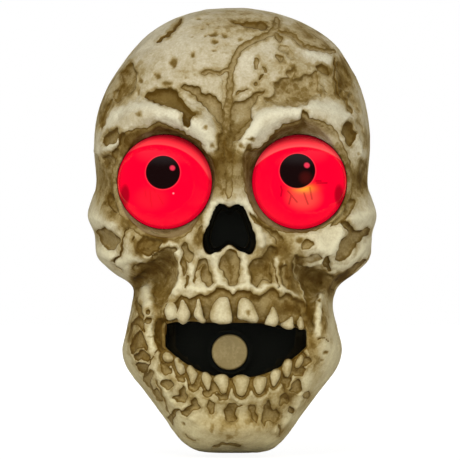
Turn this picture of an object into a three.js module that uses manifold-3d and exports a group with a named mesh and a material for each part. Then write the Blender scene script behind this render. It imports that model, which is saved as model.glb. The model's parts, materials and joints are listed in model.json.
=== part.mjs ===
// A wall-hung skull door chime: a hollow moulded face on a flat back cover, with two glowing eyes that
// look from side to side and a push button between the teeth.
// Millimetres. +Z is up, the face looks along -Y and the wall is the plane y = 0.
// A depth is a distance in front of the wall, so a point at depth d lies at y = -d.
import * as THREE from "three";
import { mergeVertices } from "three/addons/utils/BufferGeometryUtils.js";
import Module from "manifold-3d";

const wasm = await Module();
wasm.setup();

// Clearances
const fitGap = 0.3;
const pinGap = 0.25;
const pilotGap = 0.15;
const socketGap = 0.9;

// Skull outline, half widths and heights about the middle of the back
const craniumTop = 120.5;
const craniumHalfWidth = 74.8;
const craniumHeight = 46;
const craniumRoundness = 2.2;
const templeHalfWidth = 73.6;
const templeHeight = 24;
const cheekHalfWidth = 78.3;
const cheekHeight = 8;
const cheekFootHalfWidth = 73.5;
const cheekFootHeight = -14.5;
const waistHalfWidth = 54.5;
const waistHeight = -41;
const jawHalfWidth = 59.3;
const jawHeight = -66;
const chinHalfWidth = 27.5;
const chinHeight = -113.5;
const chinBottom = -120.5;

// Where one side of the outline leaves the mirrored form: -1 is the left side, and a shift inward is positive
const outlineLeans = [
  { form: "flat left of the cranium", side: -1, z: 94, tall: 23, inward: 3.5 },
  { form: "full right of the cranium", side: 1, z: 103, tall: 8, inward: -1.8 },
  { form: "left cheekbone", side: -1, z: -6, tall: 9, inward: 1.7 },
  { form: "foot of the left cheek", side: -1, z: -29, tall: 6, inward: 2.6 },
  { form: "foot of the right cheek", side: 1, z: -23, tall: 9, inward: -2.3 },
];

// Skull relief
const shellWall = 2.6;
const faceDepth = 62;
const edgeLand = 1;
const edgePower = 4;
const chinEdgePower = 12;
const browRise = 9;
const browRadius = 36.5;
const browWidth = 6.5;
const orbitRadius = 31.5;
const socketFlare = 19;
const facetsRound = 64;
const facetsAcross = 15;
const cavityFacetsRound = 40;
const cavityFacetsAcross = 9;

// Swellings and hollows of the face, the same on both sides
const faceForms = [
  { form: "frontal boss", x: 27, z: 84, wide: 24, tall: 22, rise: 2.5 },
  { form: "temple hollow", x: 67, z: 52, wide: 11, tall: 17, rise: -5 },
  { form: "nose root", x: 0, z: 46, wide: 7, tall: 6, rise: -2 },
  { form: "nose bridge", x: 0, z: 27, wide: 8.5, tall: 16, rise: 7 },
  { form: "nose side", x: 15, z: -2, wide: 7, tall: 12, rise: 3 },
  { form: "cheekbone front", x: 44, z: -9, wide: 16, tall: 8, rise: 7 },
  { form: "cheekbone side", x: 64, z: 1, wide: 9, tall: 10, rise: 7 },
  { form: "cheek hollow", x: 43, z: -28, wide: 9, tall: 8.5, rise: -13 },
  { form: "upper jaw", x: 0, z: -36, wide: 29, tall: 17, rise: 9 },
  { form: "jaw branch", x: 50, z: -46, wide: 7, tall: 17, rise: 4 },
  { form: "tooth groove", x: 41, z: -47, wide: 4.5, tall: 11, rise: -6 },
  { form: "lower jaw", x: 0, z: -85, wide: 36, tall: 11, rise: 7 },
  { form: "chin", x: 0, z: -109, wide: 22, tall: 9, rise: 10 },
  { form: "chin hollow", x: 0, z: -98, wide: 16, tall: 5, rise: -2 },
  { form: "jaw corner", x: 50, z: -72, wide: 9, tall: 9, rise: 3 },
];

// Hollows sculpted into one side or the other, in no mirrored pairs
const sculptedHollows = [
  { form: "over the left brow", x: -34, z: 70, wide: 13, tall: 5, rise: -2.5 },
  { form: "left of the forehead's middle", x: -17, z: 71, wide: 8, tall: 5.5, rise: -2 },
  { form: "beside the crack, left", x: -7.5, z: 56, wide: 5, tall: 14, rise: -2.5 },
  { form: "beside the crack, right", x: 5.5, z: 63, wide: 6, tall: 10, rise: -2.5 },
  { form: "over the right brow", x: 32, z: 73, wide: 14, tall: 7, rise: -2.5 },
  { form: "left cheek", x: -37, z: -21, wide: 8, tall: 12, rise: -4 },
  { form: "right cheek", x: 42, z: -24, wide: 8, tall: 12, rise: -4 },
  { form: "under the left eye", x: -24, z: -11.5, wide: 5, tall: 6, rise: -2 },
  { form: "left of the nose's foot", x: -14.5, z: -22, wide: 5, tall: 8, rise: -2.5 },
  { form: "under the nose", x: -0.5, z: -20, wide: 6, tall: 9, rise: -2.5 },
  { form: "right of the nose's foot", x: 16, z: -20, wide: 7, tall: 9, rise: -2.5 },
  { form: "left cheekbone's side", x: -66, z: -5, wide: 6, tall: 6, rise: -2.5 },
  { form: "left cheekbone's front", x: -43.5, z: -8, wide: 8, tall: 5, rise: -2.5 },
  { form: "right cheekbone's side", x: 64, z: -6, wide: 6, tall: 9, rise: -3 },
  { form: "left of the chin", x: -27.5, z: -89, wide: 8, tall: 7, rise: -2 },
  { form: "under the left lower teeth", x: -12.5, z: -86, wide: 8, tall: 5, rise: -2 },
  { form: "chin's middle", x: -0.5, z: -96.5, wide: 6, tall: 6, rise: -2 },
  { form: "right of the chin", x: 20, z: -97, wide: 6, tall: 6, rise: -2 },
  { form: "under the right lower teeth", x: 30, z: -85, wide: 7, tall: 7, rise: -2 },
];

// Nose opening and its insert
const noseX = -1.4;
const noseTop = 15.2;
const noseTopNotch = 12.2;
const noseBottom = -12.5;
const noseBottomNotch = -7.4;
const noseTopHalfWidth = 8.2;
const noseHalfWidth = 14.2;
const noseCollarWall = 2.2;
const noseInsertDepth = 54;
const noseInsertThickness = 3;
const noseRidge = 1.2;

// Mouth opening and teeth
const mouthX = 2;
const mouthHalfWidth = 37.5;
const mouthTop = -49;
const mouthCornerTop = -53;
const mouthCornerBottom = -62;
const mouthBottom = -78.5;
const toothThickness = 6;
const toothProud = 2;
const upperToothLength = 13.5;
const lowerToothLength = 9.5;
const toothOverhang = 1.6;
const upperTeeth = [
  { x: -31, width: 6.2 },
  { x: -24.4, width: 6.2 },
  { x: -16.6, width: 7.6 },
  { x: -5.4, width: 11.8 },
  { x: 9, width: 11.2 },
  { x: 20.8, width: 9 },
  { x: 30, width: 7 },
  { x: 37, width: 5 },
];
const lowerTeeth = [
  { x: -28.5, width: 5.6 },
  { x: -21.5, width: 6.2 },
  { x: -14, width: 6.8 },
  { x: -5.3, width: 7.8 },
  { x: 4.8, width: 8 },
  { x: 14.6, width: 7.8 },
  { x: 23.3, width: 6.8 },
  { x: 30.3, width: 5.8 },
  { x: 36.4, width: 5 },
];

// Eyes
const eyeSpacing = 72;
const eyeHeight = 26;
const eyeDepth = 43;
const eyeDiameter = 50.4;
const eyeWall = 1.6;
const eyeWrapAngle = 110;
const socketLipForward = 7;
const cupGap = 0.75;
const cupThickness = 2;
const cupFront = 4;
const cupBack = 9;
const pinRadius = 1.5;
const pinHeadRadius = 2.6;
const pinHeadHeight = 1;
const pinReach = 8.5;
const bossRadius = 3.6;
const lookAngle = 20;

// Eye carrier
const armThickness = 4;
const armHalfWidth = 4.5;
const armReach = 3.2;
const armGap = 0.8;
const carrierThickness = 3;
const carrierHalfWidth = 61;
const carrierMargin = 3;
const carrierEars = [
  { x: -57, z: 56 },
  { x: 57, z: 56 },
  { x: -56, z: -2 },
  { x: 56, z: -2 },
];

// Eye drive
const leverLength = 18;
const leverHalfWidth = 3;
const leverThickness = 3.2;
const pegRadius = 1.5;
const barThickness = 3;
const barWall = 1.6;
const gearModule = 0.9;
const pinionTeeth = 14;
const pinionThickness = 4;
const rackTeeth = 11;
const motorWidth = 12;
const motorBodyDepth = 10;
const motorLength = 15;
const gearboxLength = 9;
const shaftRadius = 1.5;
const shaftReach = 5;
const strapThickness = 1.6;
const strapHeight = 8;

// Lamps
const lampRadius = 2.5;
const lampLength = 8.4;
const lampDrop = 4;
const lampBoardWidth = 12;
const lampBoardHeight = 16;
const boardThickness = 1.6;

// Mouth panel and push button
const panelDepth = 56;
const panelThickness = 2.4;
const panelRadius = 100;
const panelHalfWidth = 45.4;
const panelMargin = 4.5;
const panelScrewX = 42;
const panelScrewZ = -62;
const buttonX = -1.3;
const buttonZ = -64.7;
const buttonDiameter = 18.8;
const buttonProud = 4;
const buttonTravel = 2.5;
const bezelWidth = 2.6;
const bezelProud = 2;
const flangeOverlap = 1.6;
const flangeThickness = 1.8;
const stemRadius = 3;
const stemLength = 4;
const padRadius = 2.6;
const padThickness = 1.2;
const springRadius = 6.5;
const springWire = 0.5;
const springTurns = 4.5;
const buttonBoardHalfWidth = 20;
const buttonBoardHalfHeight = 8;
const boardPostX = 16;
const buttonTabX = 11;
const buttonTabDrop = 4;

// Back cover
const coverThickness = 2.8;
const coverInset = 0.8;
const lipHeight = 2.8;
const lipThickness = 1.6;
const lipGap = 1.2;
const keyholeZ = 97;
const keyholeRadius = 4.6;
const keySlotHalfWidth = 2.3;
const keySlotLength = 9;
const shellScrews = [
  { x: -20, z: craniumTop - 12.5 },
  { x: 20, z: craniumTop - 12.5 },
  { x: -cheekHalfWidth + 12.3, z: cheekHeight - 4 },
  { x: cheekHalfWidth - 12.3, z: cheekHeight - 4 },
  { x: -jawHalfWidth + 9.3, z: jawHeight },
  { x: jawHalfWidth - 9.3, z: jawHeight },
];

// Battery box and door
const cellDiameter = 14.5;
const cellLength = 50.5;
const cellGap = 0.6;
const cellCount = 3;
const cellNubRadius = 2.6;
const cellNubLength = 1.2;
const contactThickness = 0.5;
const contactSpringLength = 4.2;
const contactSpringWire = 0.45;
const boxWall = 1.6;
const boxTop = -11;
const boxFloorDepth = 20;
const doorThickness = 2.2;
const doorLip = 3.2;
const tabWidth = 8;
const tabX = 15;

// Speaker
const speakerX = -34;
const speakerZ = 79;
const speakerRadius = 20;
const speakerDepth = 13;
const magnetRadius = 10;
const grilleHoleRadius = 1.6;

// Power switch
const switchZ = -84;
const switchTravel = 4;
const knobHalfWidth = 1.7;
const knobHalfHeight = 1.5;
const switchHalfWidth = 6.5;
const switchHalfHeight = 3.5;
const switchBodyDepth = 5;

// Main board
const boardLeft = 17;
const boardRight = 49;
const boardLow = 60;
const boardHigh = 90;
const boardDepth = 6;
const postRadius = 2.6;
const boardScrewInset = 3.2;
const chipRadius = 5;
const chipHeight = 2.2;

// Screws
const screwRadius = 1.4;
const screwHeadRadius = 2.7;
const screwHeadHeight = 1.4;
const screwLength = 9;

// Leads
const leadRadius = 0.7;

// Sizes that follow from the ones above
const eyeX = eyeSpacing / 2;
const eyeRadius = eyeDiameter / 2;
const socketRadius = eyeRadius + socketGap;
const socketLip = eyeDepth + socketLipForward;
const rimDepth = coverThickness + fitGap;
const cupOuterRadius = eyeRadius - eyeWall - cupGap;
const cupRearRadius = Math.sqrt(cupOuterRadius ** 2 - cupBack ** 2);
const leverTop = eyeHeight + cupRearRadius - 0.3;
const pegDepth = eyeDepth - leverLength;
const pegRise = leverLength * (1 - Math.cos(THREE.MathUtils.degToRad(lookAngle)));
const barRear = pegDepth - pegRadius - pinGap - barWall;
const barFront = pegDepth + pegRise + pegRadius + pinGap + barWall;
const barLow = leverTop + fitGap;
const barHigh = barLow + barThickness;
const rackPitchDepth = barRear - 1.2 * gearModule;
const pinionPitchRadius = (gearModule * pinionTeeth) / 2;
const pinionDepth = rackPitchDepth - pinionPitchRadius;
const carrierFront = barRear - fitGap;
const carrierBack = carrierFront - carrierThickness;
const armLow = eyeHeight - eyeRadius - armGap - armThickness;
const armHigh = eyeHeight + eyeRadius + armGap + armThickness;
const gearboxLow = barHigh + 2.5;
const motorHigh = gearboxLow + gearboxLength + fitGap + motorLength;
const motorNear = pinionDepth - motorBodyDepth / 2;
const motorFar = pinionDepth + motorBodyDepth / 2;
const buttonRadius = buttonDiameter / 2;
const bezelRadius = buttonRadius + fitGap + bezelWidth;
const bezelBack = panelDepth - panelThickness - 0.7;
const flangeFront = bezelBack - fitGap;
const flangeBack = flangeFront - flangeThickness;
const padFront = flangeBack - stemLength - fitGap;
const buttonBoardFront = padFront - padThickness - buttonTravel - 0.2;
const buttonBoardBack = buttonBoardFront - boardThickness;
const cellPitch = cellDiameter + cellGap;
const boxBottom = boxTop - cellCount * cellPitch - cellGap;
const boxHalfLength = (cellLength + cellNubLength + contactSpringLength) / 2 + contactThickness + 2 * fitGap;
const cellDepth = boxFloorDepth - fitGap - cellDiameter / 2;
const doorLow = boxBottom + doorLip;
const screwClear = screwRadius + 0.35;
const pilotRadius = screwRadius + pilotGap;

// Closed geometry as a solid for joining and cutting, turned to face outwards
function solid(geometry) {
  const bare = new THREE.BufferGeometry();
  bare.setAttribute("position", geometry.getAttribute("position"));
  if (geometry.index) bare.setIndex(geometry.index);
  const merged = mergeVertices(bare, 1e-4);
  const vertProperties = new Float32Array(merged.attributes.position.array);
  const triVerts = new Uint32Array(merged.index.array);
  const made = new wasm.Manifold(new wasm.Mesh({ numProp: 3, vertProperties, triVerts }));
  if (made.volume() > 0) return made;
  const turned = triVerts.map((_, i) => triVerts[i - (i % 3) + [0, 2, 1][i % 3]]);
  return new wasm.Manifold(new wasm.Mesh({ numProp: 3, vertProperties, triVerts: turned }));
}

function joined(solids) {
  return solids.reduce((whole, next) => whole.add(next));
}

function cut(whole, tools) {
  return tools.reduce((rest, tool) => rest.subtract(tool), whole);
}

// A box between two widths, two depths and two heights
function block(x0, x1, near, far, z0, z1) {
  const box = new THREE.BoxGeometry(x1 - x0, far - near, z1 - z0);
  box.translate((x0 + x1) / 2, -(near + far) / 2, (z0 + z1) / 2);
  return solid(box);
}

// Round rods that run out from the wall, upwards or across
function rodOut(x, z, radius, near, far, sides = 12) {
  const rod = new THREE.CylinderGeometry(radius, radius, far - near, sides);
  rod.translate(x, -(near + far) / 2, z);
  return solid(rod);
}

function rodUp(x, depth, radius, low, high, sides = 12) {
  const rod = new THREE.CylinderGeometry(radius, radius, high - low, sides);
  rod.rotateX(Math.PI / 2);
  rod.translate(x, -depth, (low + high) / 2);
  return solid(rod);
}

function rodAcross(left, right, depth, z, radius, sides = 16) {
  const rod = new THREE.CylinderGeometry(radius, radius, right - left, sides);
  rod.rotateZ(Math.PI / 2);
  rod.translate((left + right) / 2, -depth, z);
  return solid(rod);
}

// A profile of radius and depth pairs, turned about a line out from the wall
function turnedOut(x, z, profile, sides) {
  const points = profile.map(([radius, depth]) => new THREE.Vector2(radius, -depth));
  const lathe = new THREE.LatheGeometry(points, sides);
  lathe.translate(x, 0, z);
  return solid(lathe);
}

// A flat shape of widths and heights, from one depth to another
function slab(shape, near, far) {
  const extruded = new THREE.ExtrudeGeometry(shape, { depth: far - near, bevelEnabled: false });
  extruded.rotateX(Math.PI / 2);
  extruded.translate(0, -near, 0);
  return solid(extruded);
}

// A flat shape of widths and depths, from one height to another
function upright(points, low, high) {
  const shape = new THREE.Shape(points.map(([x, depth]) => new THREE.Vector2(x, -depth)));
  const extruded = new THREE.ExtrudeGeometry(shape, { depth: high - low, bevelEnabled: false });
  extruded.translate(0, 0, low);
  return solid(extruded);
}

function ringPoints(radius, sides) {
  return Array.from({ length: sides }, (_, i) => {
    const angle = (2 * Math.PI * i) / sides;
    return new THREE.Vector2(radius * Math.cos(angle), radius * Math.sin(angle));
  });
}

// A round wire along a path
function wire(path, radius, steps, sides) {
  const section = new THREE.Shape(ringPoints(radius, sides));
  return solid(new THREE.ExtrudeGeometry(section, { steps, extrudePath: path, bevelEnabled: false }));
}

class Coil extends THREE.Curve {
  constructor(start, axis, side, length, radius, endRadius, turns) {
    super();
    Object.assign(this, { start, axis, side, length, radius, endRadius, turns });
    this.other = new THREE.Vector3().crossVectors(axis, side);
  }

  getPoint(t) {
    const angle = 2 * Math.PI * this.turns * t;
    const radius = this.radius + (this.endRadius - this.radius) * t;
    return this.start
      .clone()
      .addScaledVector(this.axis, this.length * t)
      .addScaledVector(this.side, radius * Math.cos(angle))
      .addScaledVector(this.other, radius * Math.sin(angle));
  }
}

function smoothStep(value, low, high) {
  const t = Math.min(1, Math.max(0, (value - low) / (high - low)));
  return t * t * (3 - 2 * t);
}

function closedCurve(points, count) {
  const curve = new THREE.CatmullRomCurve3(points.map(([x, z]) => new THREE.Vector3(x, 0, z)), true);
  return curve.getSpacedPoints(count).slice(0, count).map((p) => new THREE.Vector2(p.x, p.z));
}

function leaned([x, z]) {
  let shift = 0;
  for (const { side, z: middle, tall, inward } of outlineLeans)
    if (side * x > 0) shift += side * inward * Math.exp(-(((z - middle) / tall) ** 2));
  return [x - shift, z];
}

// Skull outline: the jaw and cheek through a few points, the cranium as a rounded arch
function skullOutline(count) {
  const jawFoot = [jawHalfWidth - 2.3, jawHeight - 8];
  const jawLine = (share) => [
    chinHalfWidth + (jawFoot[0] - chinHalfWidth) * share,
    chinHeight + (jawFoot[1] - chinHeight) * share,
  ];
  const half = [
    [chinHalfWidth * 0.7, chinBottom + 1.5],
    [chinHalfWidth, chinHeight],
    jawLine(0.33),
    jawLine(0.66),
    jawFoot,
    [jawHalfWidth, jawHeight],
    [jawHalfWidth - 2.3, jawHeight + 13],
    [waistHalfWidth, waistHeight],
    [waistHalfWidth + 1.5, waistHeight + 10],
    [(waistHalfWidth + cheekFootHalfWidth) / 2 + 1, cheekFootHeight - 8],
    [cheekFootHalfWidth, cheekFootHeight],
    [(cheekFootHalfWidth + cheekHalfWidth) / 2, cheekHeight - 10],
    [cheekHalfWidth, cheekHeight],
    [(cheekHalfWidth + templeHalfWidth) / 2, cheekHeight + 9],
    [templeHalfWidth, templeHeight],
  ];
  const archSteps = 8;
  for (let i = 0; i < archSteps; i++) {
    const angle = (Math.PI / 2) * (i / archSteps);
    const power = 2 / craniumRoundness;
    half.push([
      craniumHalfWidth * Math.cos(angle) ** power,
      craniumHeight + (craniumTop - craniumHeight) * Math.sin(angle) ** power,
    ]);
  }
  const mirrored = half.map(([x, z]) => [-x, z]).reverse();
  return closedCurve([[0, chinBottom], ...half, [0, craniumTop], ...mirrored].map(leaned), count);
}

const outline = skullOutline(facetsRound);

function insetOutline(points, inset) {
  return points.map((p) => p.clone().multiplyScalar(1 - inset / p.length()));
}

// How far out a point lies, from 0 in the middle to 1 on the outline
function edgeShare(x, z) {
  const reach = Math.hypot(x, z);
  for (let i = 0; i < outline.length && reach > 0; i++) {
    const a = outline[i];
    const b = outline[(i + 1) % outline.length];
    const turn = a.x * b.y - a.y * b.x;
    const u = (x * b.y - z * b.x) / turn;
    const v = (a.x * z - a.y * x) / turn;
    if (u >= 0 && v >= 0) return u + v;
  }
  return 0;
}

// Depth of the modelled face before its edge turns back to the wall
function formDepth(x, z) {
  const side = Math.abs(x);
  let depth = faceDepth;
  for (const { x: fx, z: fz, wide, tall, rise } of faceForms)
    depth += rise * Math.exp(-(((side - fx) / wide) ** 2) - ((z - fz) / tall) ** 2);
  for (const { x: hx, z: hz, wide, tall, rise } of sculptedHollows)
    depth += rise * Math.exp(-(((x - hx) / wide) ** 2) - ((z - hz) / tall) ** 2);
  const fromEye = Math.hypot(side - eyeX, z - eyeHeight);
  const upward = (z - eyeHeight) / Math.max(fromEye, 1e-6);
  depth += browRise * Math.exp(-(((fromEye - browRadius) / browWidth) ** 2)) * smoothStep(upward, -0.1, 0.7);
  return depth;
}

function skinDepth(x, z, share) {
  const downward = Math.max(0, -z / Math.max(Math.hypot(x, z), 1e-6));
  const power = edgePower + (chinEdgePower - edgePower) * downward ** 3;
  const fall = Math.sqrt(Math.max(0, 1 - Math.min(1, share) ** power));
  return rimDepth + edgeLand + fall * (formDepth(x, z) - rimDepth - edgeLand);
}

// Depth of the socket's flared wall at a distance from the middle of the eye
function socketDepth(reach) {
  const share = Math.max(0, (reach - socketRadius) / (orbitRadius - socketRadius));
  return socketLip + socketFlare * share ** 1.4;
}

// The cavity keeps clear of the deepest skin within a few millimetres
function cavityDepth(x, z, share) {
  let least = Infinity;
  for (let i = 0; i < 8; i++) {
    const angle = (Math.PI * i) / 4;
    for (const reach of [0, 2.5, 5]) {
      const nearX = x + reach * Math.cos(angle);
      const nearZ = z + reach * Math.sin(angle);
      const fromEye = Math.hypot(Math.abs(nearX) - eyeX, nearZ - eyeHeight);
      least = Math.min(least, skinDepth(nearX, nearZ, share), socketDepth(fromEye));
    }
  }
  return least - shellWall;
}

// A dome over an outline, in rings from the middle out
function domed(points, across, depthAt, base) {
  const count = points.length;
  const positions = [0, -depthAt(0, 0, 0), 0];
  for (let ring = 1; ring <= across; ring++) {
    const share = 1 - (1 - ring / across) ** 1.35;
    for (const p of points) {
      const x = p.x * share;
      const z = p.y * share;
      positions.push(x, -depthAt(x, z, share), z);
    }
  }
  for (const p of points) positions.push(p.x, -base, p.y);
  positions.push(0, -base, 0);
  const last = positions.length / 3 - 1;
  const at = (ring, i) => 1 + (ring - 1) * count + (i % count);
  const faces = [];
  for (let i = 0; i < count; i++) {
    faces.push(0, at(1, i), at(1, i + 1));
    for (let ring = 1; ring <= across; ring++) {
      const quad = [at(ring, i), at(ring + 1, i), at(ring + 1, i + 1), at(ring, i + 1)];
      const start = i < count / 2 ? 1 : 0;
      const corner = (step) => quad[(start + step) % 4];
      faces.push(corner(0), corner(1), corner(2), corner(0), corner(2), corner(3));
    }
    faces.push(at(across + 1, i), last, at(across + 1, i + 1));
  }
  const geometry = new THREE.BufferGeometry();
  geometry.setAttribute("position", new THREE.Float32BufferAttribute(positions, 3));
  geometry.setIndex(faces);
  return solid(geometry);
}

// Nose opening, grown or shrunk by a margin at its widest
function noseShape(margin) {
  const grown = 1 + margin / noseHalfWidth;
  const half = [
    [0, noseTopNotch],
    [noseTopHalfWidth * 0.6, noseTop],
    [noseTopHalfWidth, noseTop - 3],
    [noseHalfWidth * 0.84, noseTop - 12],
    [noseHalfWidth, noseBottom + 6],
    [noseHalfWidth * 0.8, noseBottom],
    [noseHalfWidth * 0.42, noseBottom + 1.2],
    [0, noseBottomNotch],
  ];
  const mirrored = half.slice(1, -1).map(([x, z]) => [-x, z]).reverse();
  return new THREE.Shape(closedCurve([...half, ...mirrored].map(([x, z]) => [noseX + x * grown, z * grown]), 26));
}

// Upper and lower edge of the mouth opening, from 0 in its middle to 1 at its corners
const mouthShare = (x) => Math.min(1, Math.abs(x - mouthX) / mouthHalfWidth);
const mouthUpper = (share) => mouthTop + (mouthCornerTop - mouthTop) * share ** 2.5;
const mouthLower = (share) => mouthBottom + (mouthCornerBottom - mouthBottom) * share ** 2.2;

// A shape with the mouth's edges, moved out by a margin
function mouthShape(middle, halfWidth, margin) {
  const steps = 12;
  const across = Array.from({ length: steps + 1 }, (_, i) => (2 * i) / steps - 1);
  const low = across.map((t) => new THREE.Vector2(middle + halfWidth * t, mouthLower(Math.abs(t)) - margin));
  const high = across.map((t) => new THREE.Vector2(middle + halfWidth * t, mouthUpper(Math.abs(t)) + margin));
  return new THREE.Shape([...low, ...high.reverse()]);
}

// One tooth: a tapered, softened peg that runs from its root to its tip
function tooth(x, width, root, tip) {
  const half = width / 2;
  const soft = Math.sign(tip - root) * Math.min(1.6, half / 2);
  const face = new THREE.Shape([
    new THREE.Vector2(-half * 0.72, root),
    new THREE.Vector2(half * 0.72, root),
    new THREE.Vector2(half, tip - 2 * soft),
    new THREE.Vector2(half * 0.7, tip),
    new THREE.Vector2(-half * 0.7, tip),
    new THREE.Vector2(-half, tip - 2 * soft),
  ]);
  const bevel = { bevelThickness: 0.9, bevelSize: 0.9, bevelOffset: -0.9, bevelSegments: 1 };
  const peg = new THREE.ExtrudeGeometry(face, { depth: toothThickness - 1.8, ...bevel });
  const front = skinDepth(x, root, edgeShare(x, root)) + toothProud;
  peg.rotateX(Math.PI / 2);
  peg.rotateZ(Math.sign(x) * Math.min(0.5, Math.abs(x) * 0.012));
  peg.translate(x, -(front - toothThickness + 0.9), 0);
  return solid(peg);
}

function screw(x, z, seat, length, forward) {
  const way = forward ? 1 : -1;
  const profile = [
    [0, seat - way * screwHeadHeight],
    [screwHeadRadius, seat - way * screwHeadHeight],
    [screwHeadRadius, seat],
    [screwRadius, seat],
    [screwRadius, seat + way * (length - 1.5)],
    [0, seat + way * length],
  ];
  return turnedOut(x, z, profile, 8);
}

const group = new THREE.Group();
group.name = "skull_door_chime";

function add(name, body, colour, roughness, metalness = 0) {
  const mesh = body.getMesh();
  const geometry = new THREE.BufferGeometry();
  geometry.setAttribute("position", new THREE.BufferAttribute(new Float32Array(mesh.vertProperties), 3));
  geometry.setIndex(new THREE.BufferAttribute(new Uint32Array(mesh.triVerts), 1));
  geometry.computeVertexNormals();
  const material = new THREE.MeshStandardMaterial({ color: colour, roughness, metalness });
  const part = new THREE.Mesh(geometry, material);
  part.name = name;
  group.add(part);
}

const bone = 0xded2af;
const black = 0x121310;
const greyPlastic = 0x2b2b2d;
const steel = 0xb9bcc0;
const boardGreen = 0x1f5a35;

// Skull shell
const skin = domed(outline, facetsAcross, skinDepth, rimDepth);
const cavityOutline = insetOutline(skullOutline(cavityFacetsRound), shellWall);
const cavity = domed(cavityOutline, cavityFacetsAcross, cavityDepth, -1);
const openings = [slab(mouthShape(mouthX, mouthHalfWidth, 0), 20, 120), slab(noseShape(0), 20, 120)];
const flareProfile = [[0, socketLip]];
for (let i = 0; i <= 3; i++) {
  const reach = socketRadius + ((orbitRadius - socketRadius) * 1.3 * i) / 3;
  flareProfile.push([reach, socketDepth(reach)]);
}
flareProfile.push([0, socketDepth(socketRadius + (orbitRadius - socketRadius) * 1.3)]);
for (const side of [-1, 1]) {
  openings.push(rodOut(side * eyeX, eyeHeight, socketRadius, 20, socketLip + 5, 32));
  openings.push(turnedOut(side * eyeX, eyeHeight, flareProfile, 32));
}
const noseCollar = slab(noseShape(noseCollarWall), noseInsertDepth - noseInsertThickness, 120);
const bosses = [];
const pilots = [];
for (const { x, z } of shellScrews) {
  bosses.push(rodOut(x, z, bossRadius, rimDepth, 120, 8));
  pilots.push(rodOut(x, z, pilotRadius, 0, coverThickness + screwLength + 1, 8));
}
for (const { x, z } of carrierEars) {
  bosses.push(rodOut(x, z, bossRadius, carrierFront + fitGap, 120, 8));
  pilots.push(rodOut(x, z, pilotRadius, 0, carrierFront + screwLength, 8));
}
const panelFrontAt = (x) => panelDepth - panelRadius + Math.sqrt(panelRadius ** 2 - x ** 2);
for (const side of [-1, 1]) {
  const seat = panelFrontAt(panelScrewX - bossRadius) + fitGap;
  bosses.push(rodOut(side * panelScrewX, panelScrewZ, bossRadius, seat, 120, 8));
  pilots.push(rodOut(side * panelScrewX, panelScrewZ, pilotRadius, 0, seat + 3.4, 8));
}
const inside = joined([noseCollar, ...bosses]).intersect(skin);
const upperPegs = upperTeeth.map(({ x, width }) => {
  const tip = mouthUpper(mouthShare(x)) - toothOverhang;
  return tooth(x, width, tip + upperToothLength, tip);
});
const lowerPegs = lowerTeeth.map(({ x, width }) => {
  const tip = mouthLower(mouthShare(x)) + toothOverhang;
  return tooth(x, width, tip - lowerToothLength, tip);
});
const face = cut(joined([skin.subtract(cavity), inside]), openings);
add("skull_shell", cut(joined([face, ...upperPegs, ...lowerPegs]), pilots), bone, 0.6);

// Nose insert with a raised line that follows its edge
const noseBack = noseInsertDepth - noseInsertThickness;
const noseLine = slab(noseShape(-3.2), noseInsertDepth - 0.5, noseInsertDepth + noseRidge);
const noseHollow = slab(noseShape(-4.6), noseInsertDepth, noseInsertDepth + 5);
const noseBody = slab(noseShape(-fitGap), noseBack, noseInsertDepth);
add("nose_insert", noseBody.add(noseLine.subtract(noseHollow)), black, 0.2);

// Mouth panel, curved like the jaw, with a bezel and two posts for the button board
function panelArc(radius, steps) {
  const reach = panelHalfWidth + 1;
  return Array.from({ length: steps + 1 }, (_, i) => {
    const x = reach * ((2 * i) / steps - 1);
    return [x, panelDepth - panelRadius + Math.sqrt(radius ** 2 - x ** 2)];
  });
}

const panelProfile = [...panelArc(panelRadius, 12), ...panelArc(panelRadius - panelThickness, 12).reverse()];
const panelSheet = upright(panelProfile, mouthBottom - 30, mouthTop + 30);
const panelParts = [
  panelSheet.intersect(slab(mouthShape(0, panelHalfWidth, panelMargin), 0, 120)),
  rodOut(buttonX, buttonZ, bezelRadius, bezelBack, panelDepth + bezelProud, 24),
];
const panelCuts = [rodOut(buttonX, buttonZ, buttonRadius + fitGap, 0, 120, 24)];
for (const side of [-1, 1]) {
  const x = buttonX + side * boardPostX;
  panelParts.push(rodOut(x, buttonZ, 2.2, buttonBoardFront + fitGap, panelDepth - panelThickness, 8));
  panelParts.push(rodOut(x, buttonZ, 1.2, buttonBoardBack - 0.8, panelDepth - panelThickness, 8));
  panelCuts.push(rodOut(side * panelScrewX, panelScrewZ, screwClear, 0, 120, 8));
}
add("mouth_panel", cut(joined(panelParts), panelCuts), black, 0.2);
const panelSeat = panelFrontAt(panelScrewX + screwHeadRadius) - panelThickness - 1.4;
for (const [name, side] of [["left", -1], ["right", 1]]) {
  const body = screw(side * panelScrewX, panelScrewZ, panelSeat, 7.4, true);
  add(`mouth_panel_screw_${name}`, body, steel, 0.3, 1);
}

// Push button with its spring, contact pad and board
const buttonFace = panelDepth + buttonProud;
const buttonProfile = [
  [0, flangeBack - stemLength],
  [stemRadius, flangeBack - stemLength],
  [stemRadius, flangeBack],
  [buttonRadius + flangeOverlap, flangeBack],
  [buttonRadius + flangeOverlap, flangeFront],
  [buttonRadius, flangeFront],
  [buttonRadius, buttonFace - 0.9],
  [buttonRadius - 0.9, buttonFace - 0.1],
  [0, buttonFace],
];
add("push_button", turnedOut(buttonX, buttonZ, buttonProfile, 24), 0xa08c64, 0.45);
const padBack = padFront - padThickness;
add("contact_pad", rodOut(buttonX, buttonZ, padRadius, padBack, padFront), 0x18181a, 0.9);
const springStart = new THREE.Vector3(buttonX, -(buttonBoardFront + springWire + fitGap), buttonZ);
const springLength = flangeBack - buttonBoardFront - 2 * (springWire + fitGap);
const outward = new THREE.Vector3(0, -1, 0);
const upward = new THREE.Vector3(0, 0, 1);
const buttonCoil = new Coil(springStart, outward, upward, springLength, springRadius, springRadius, springTurns);
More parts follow.
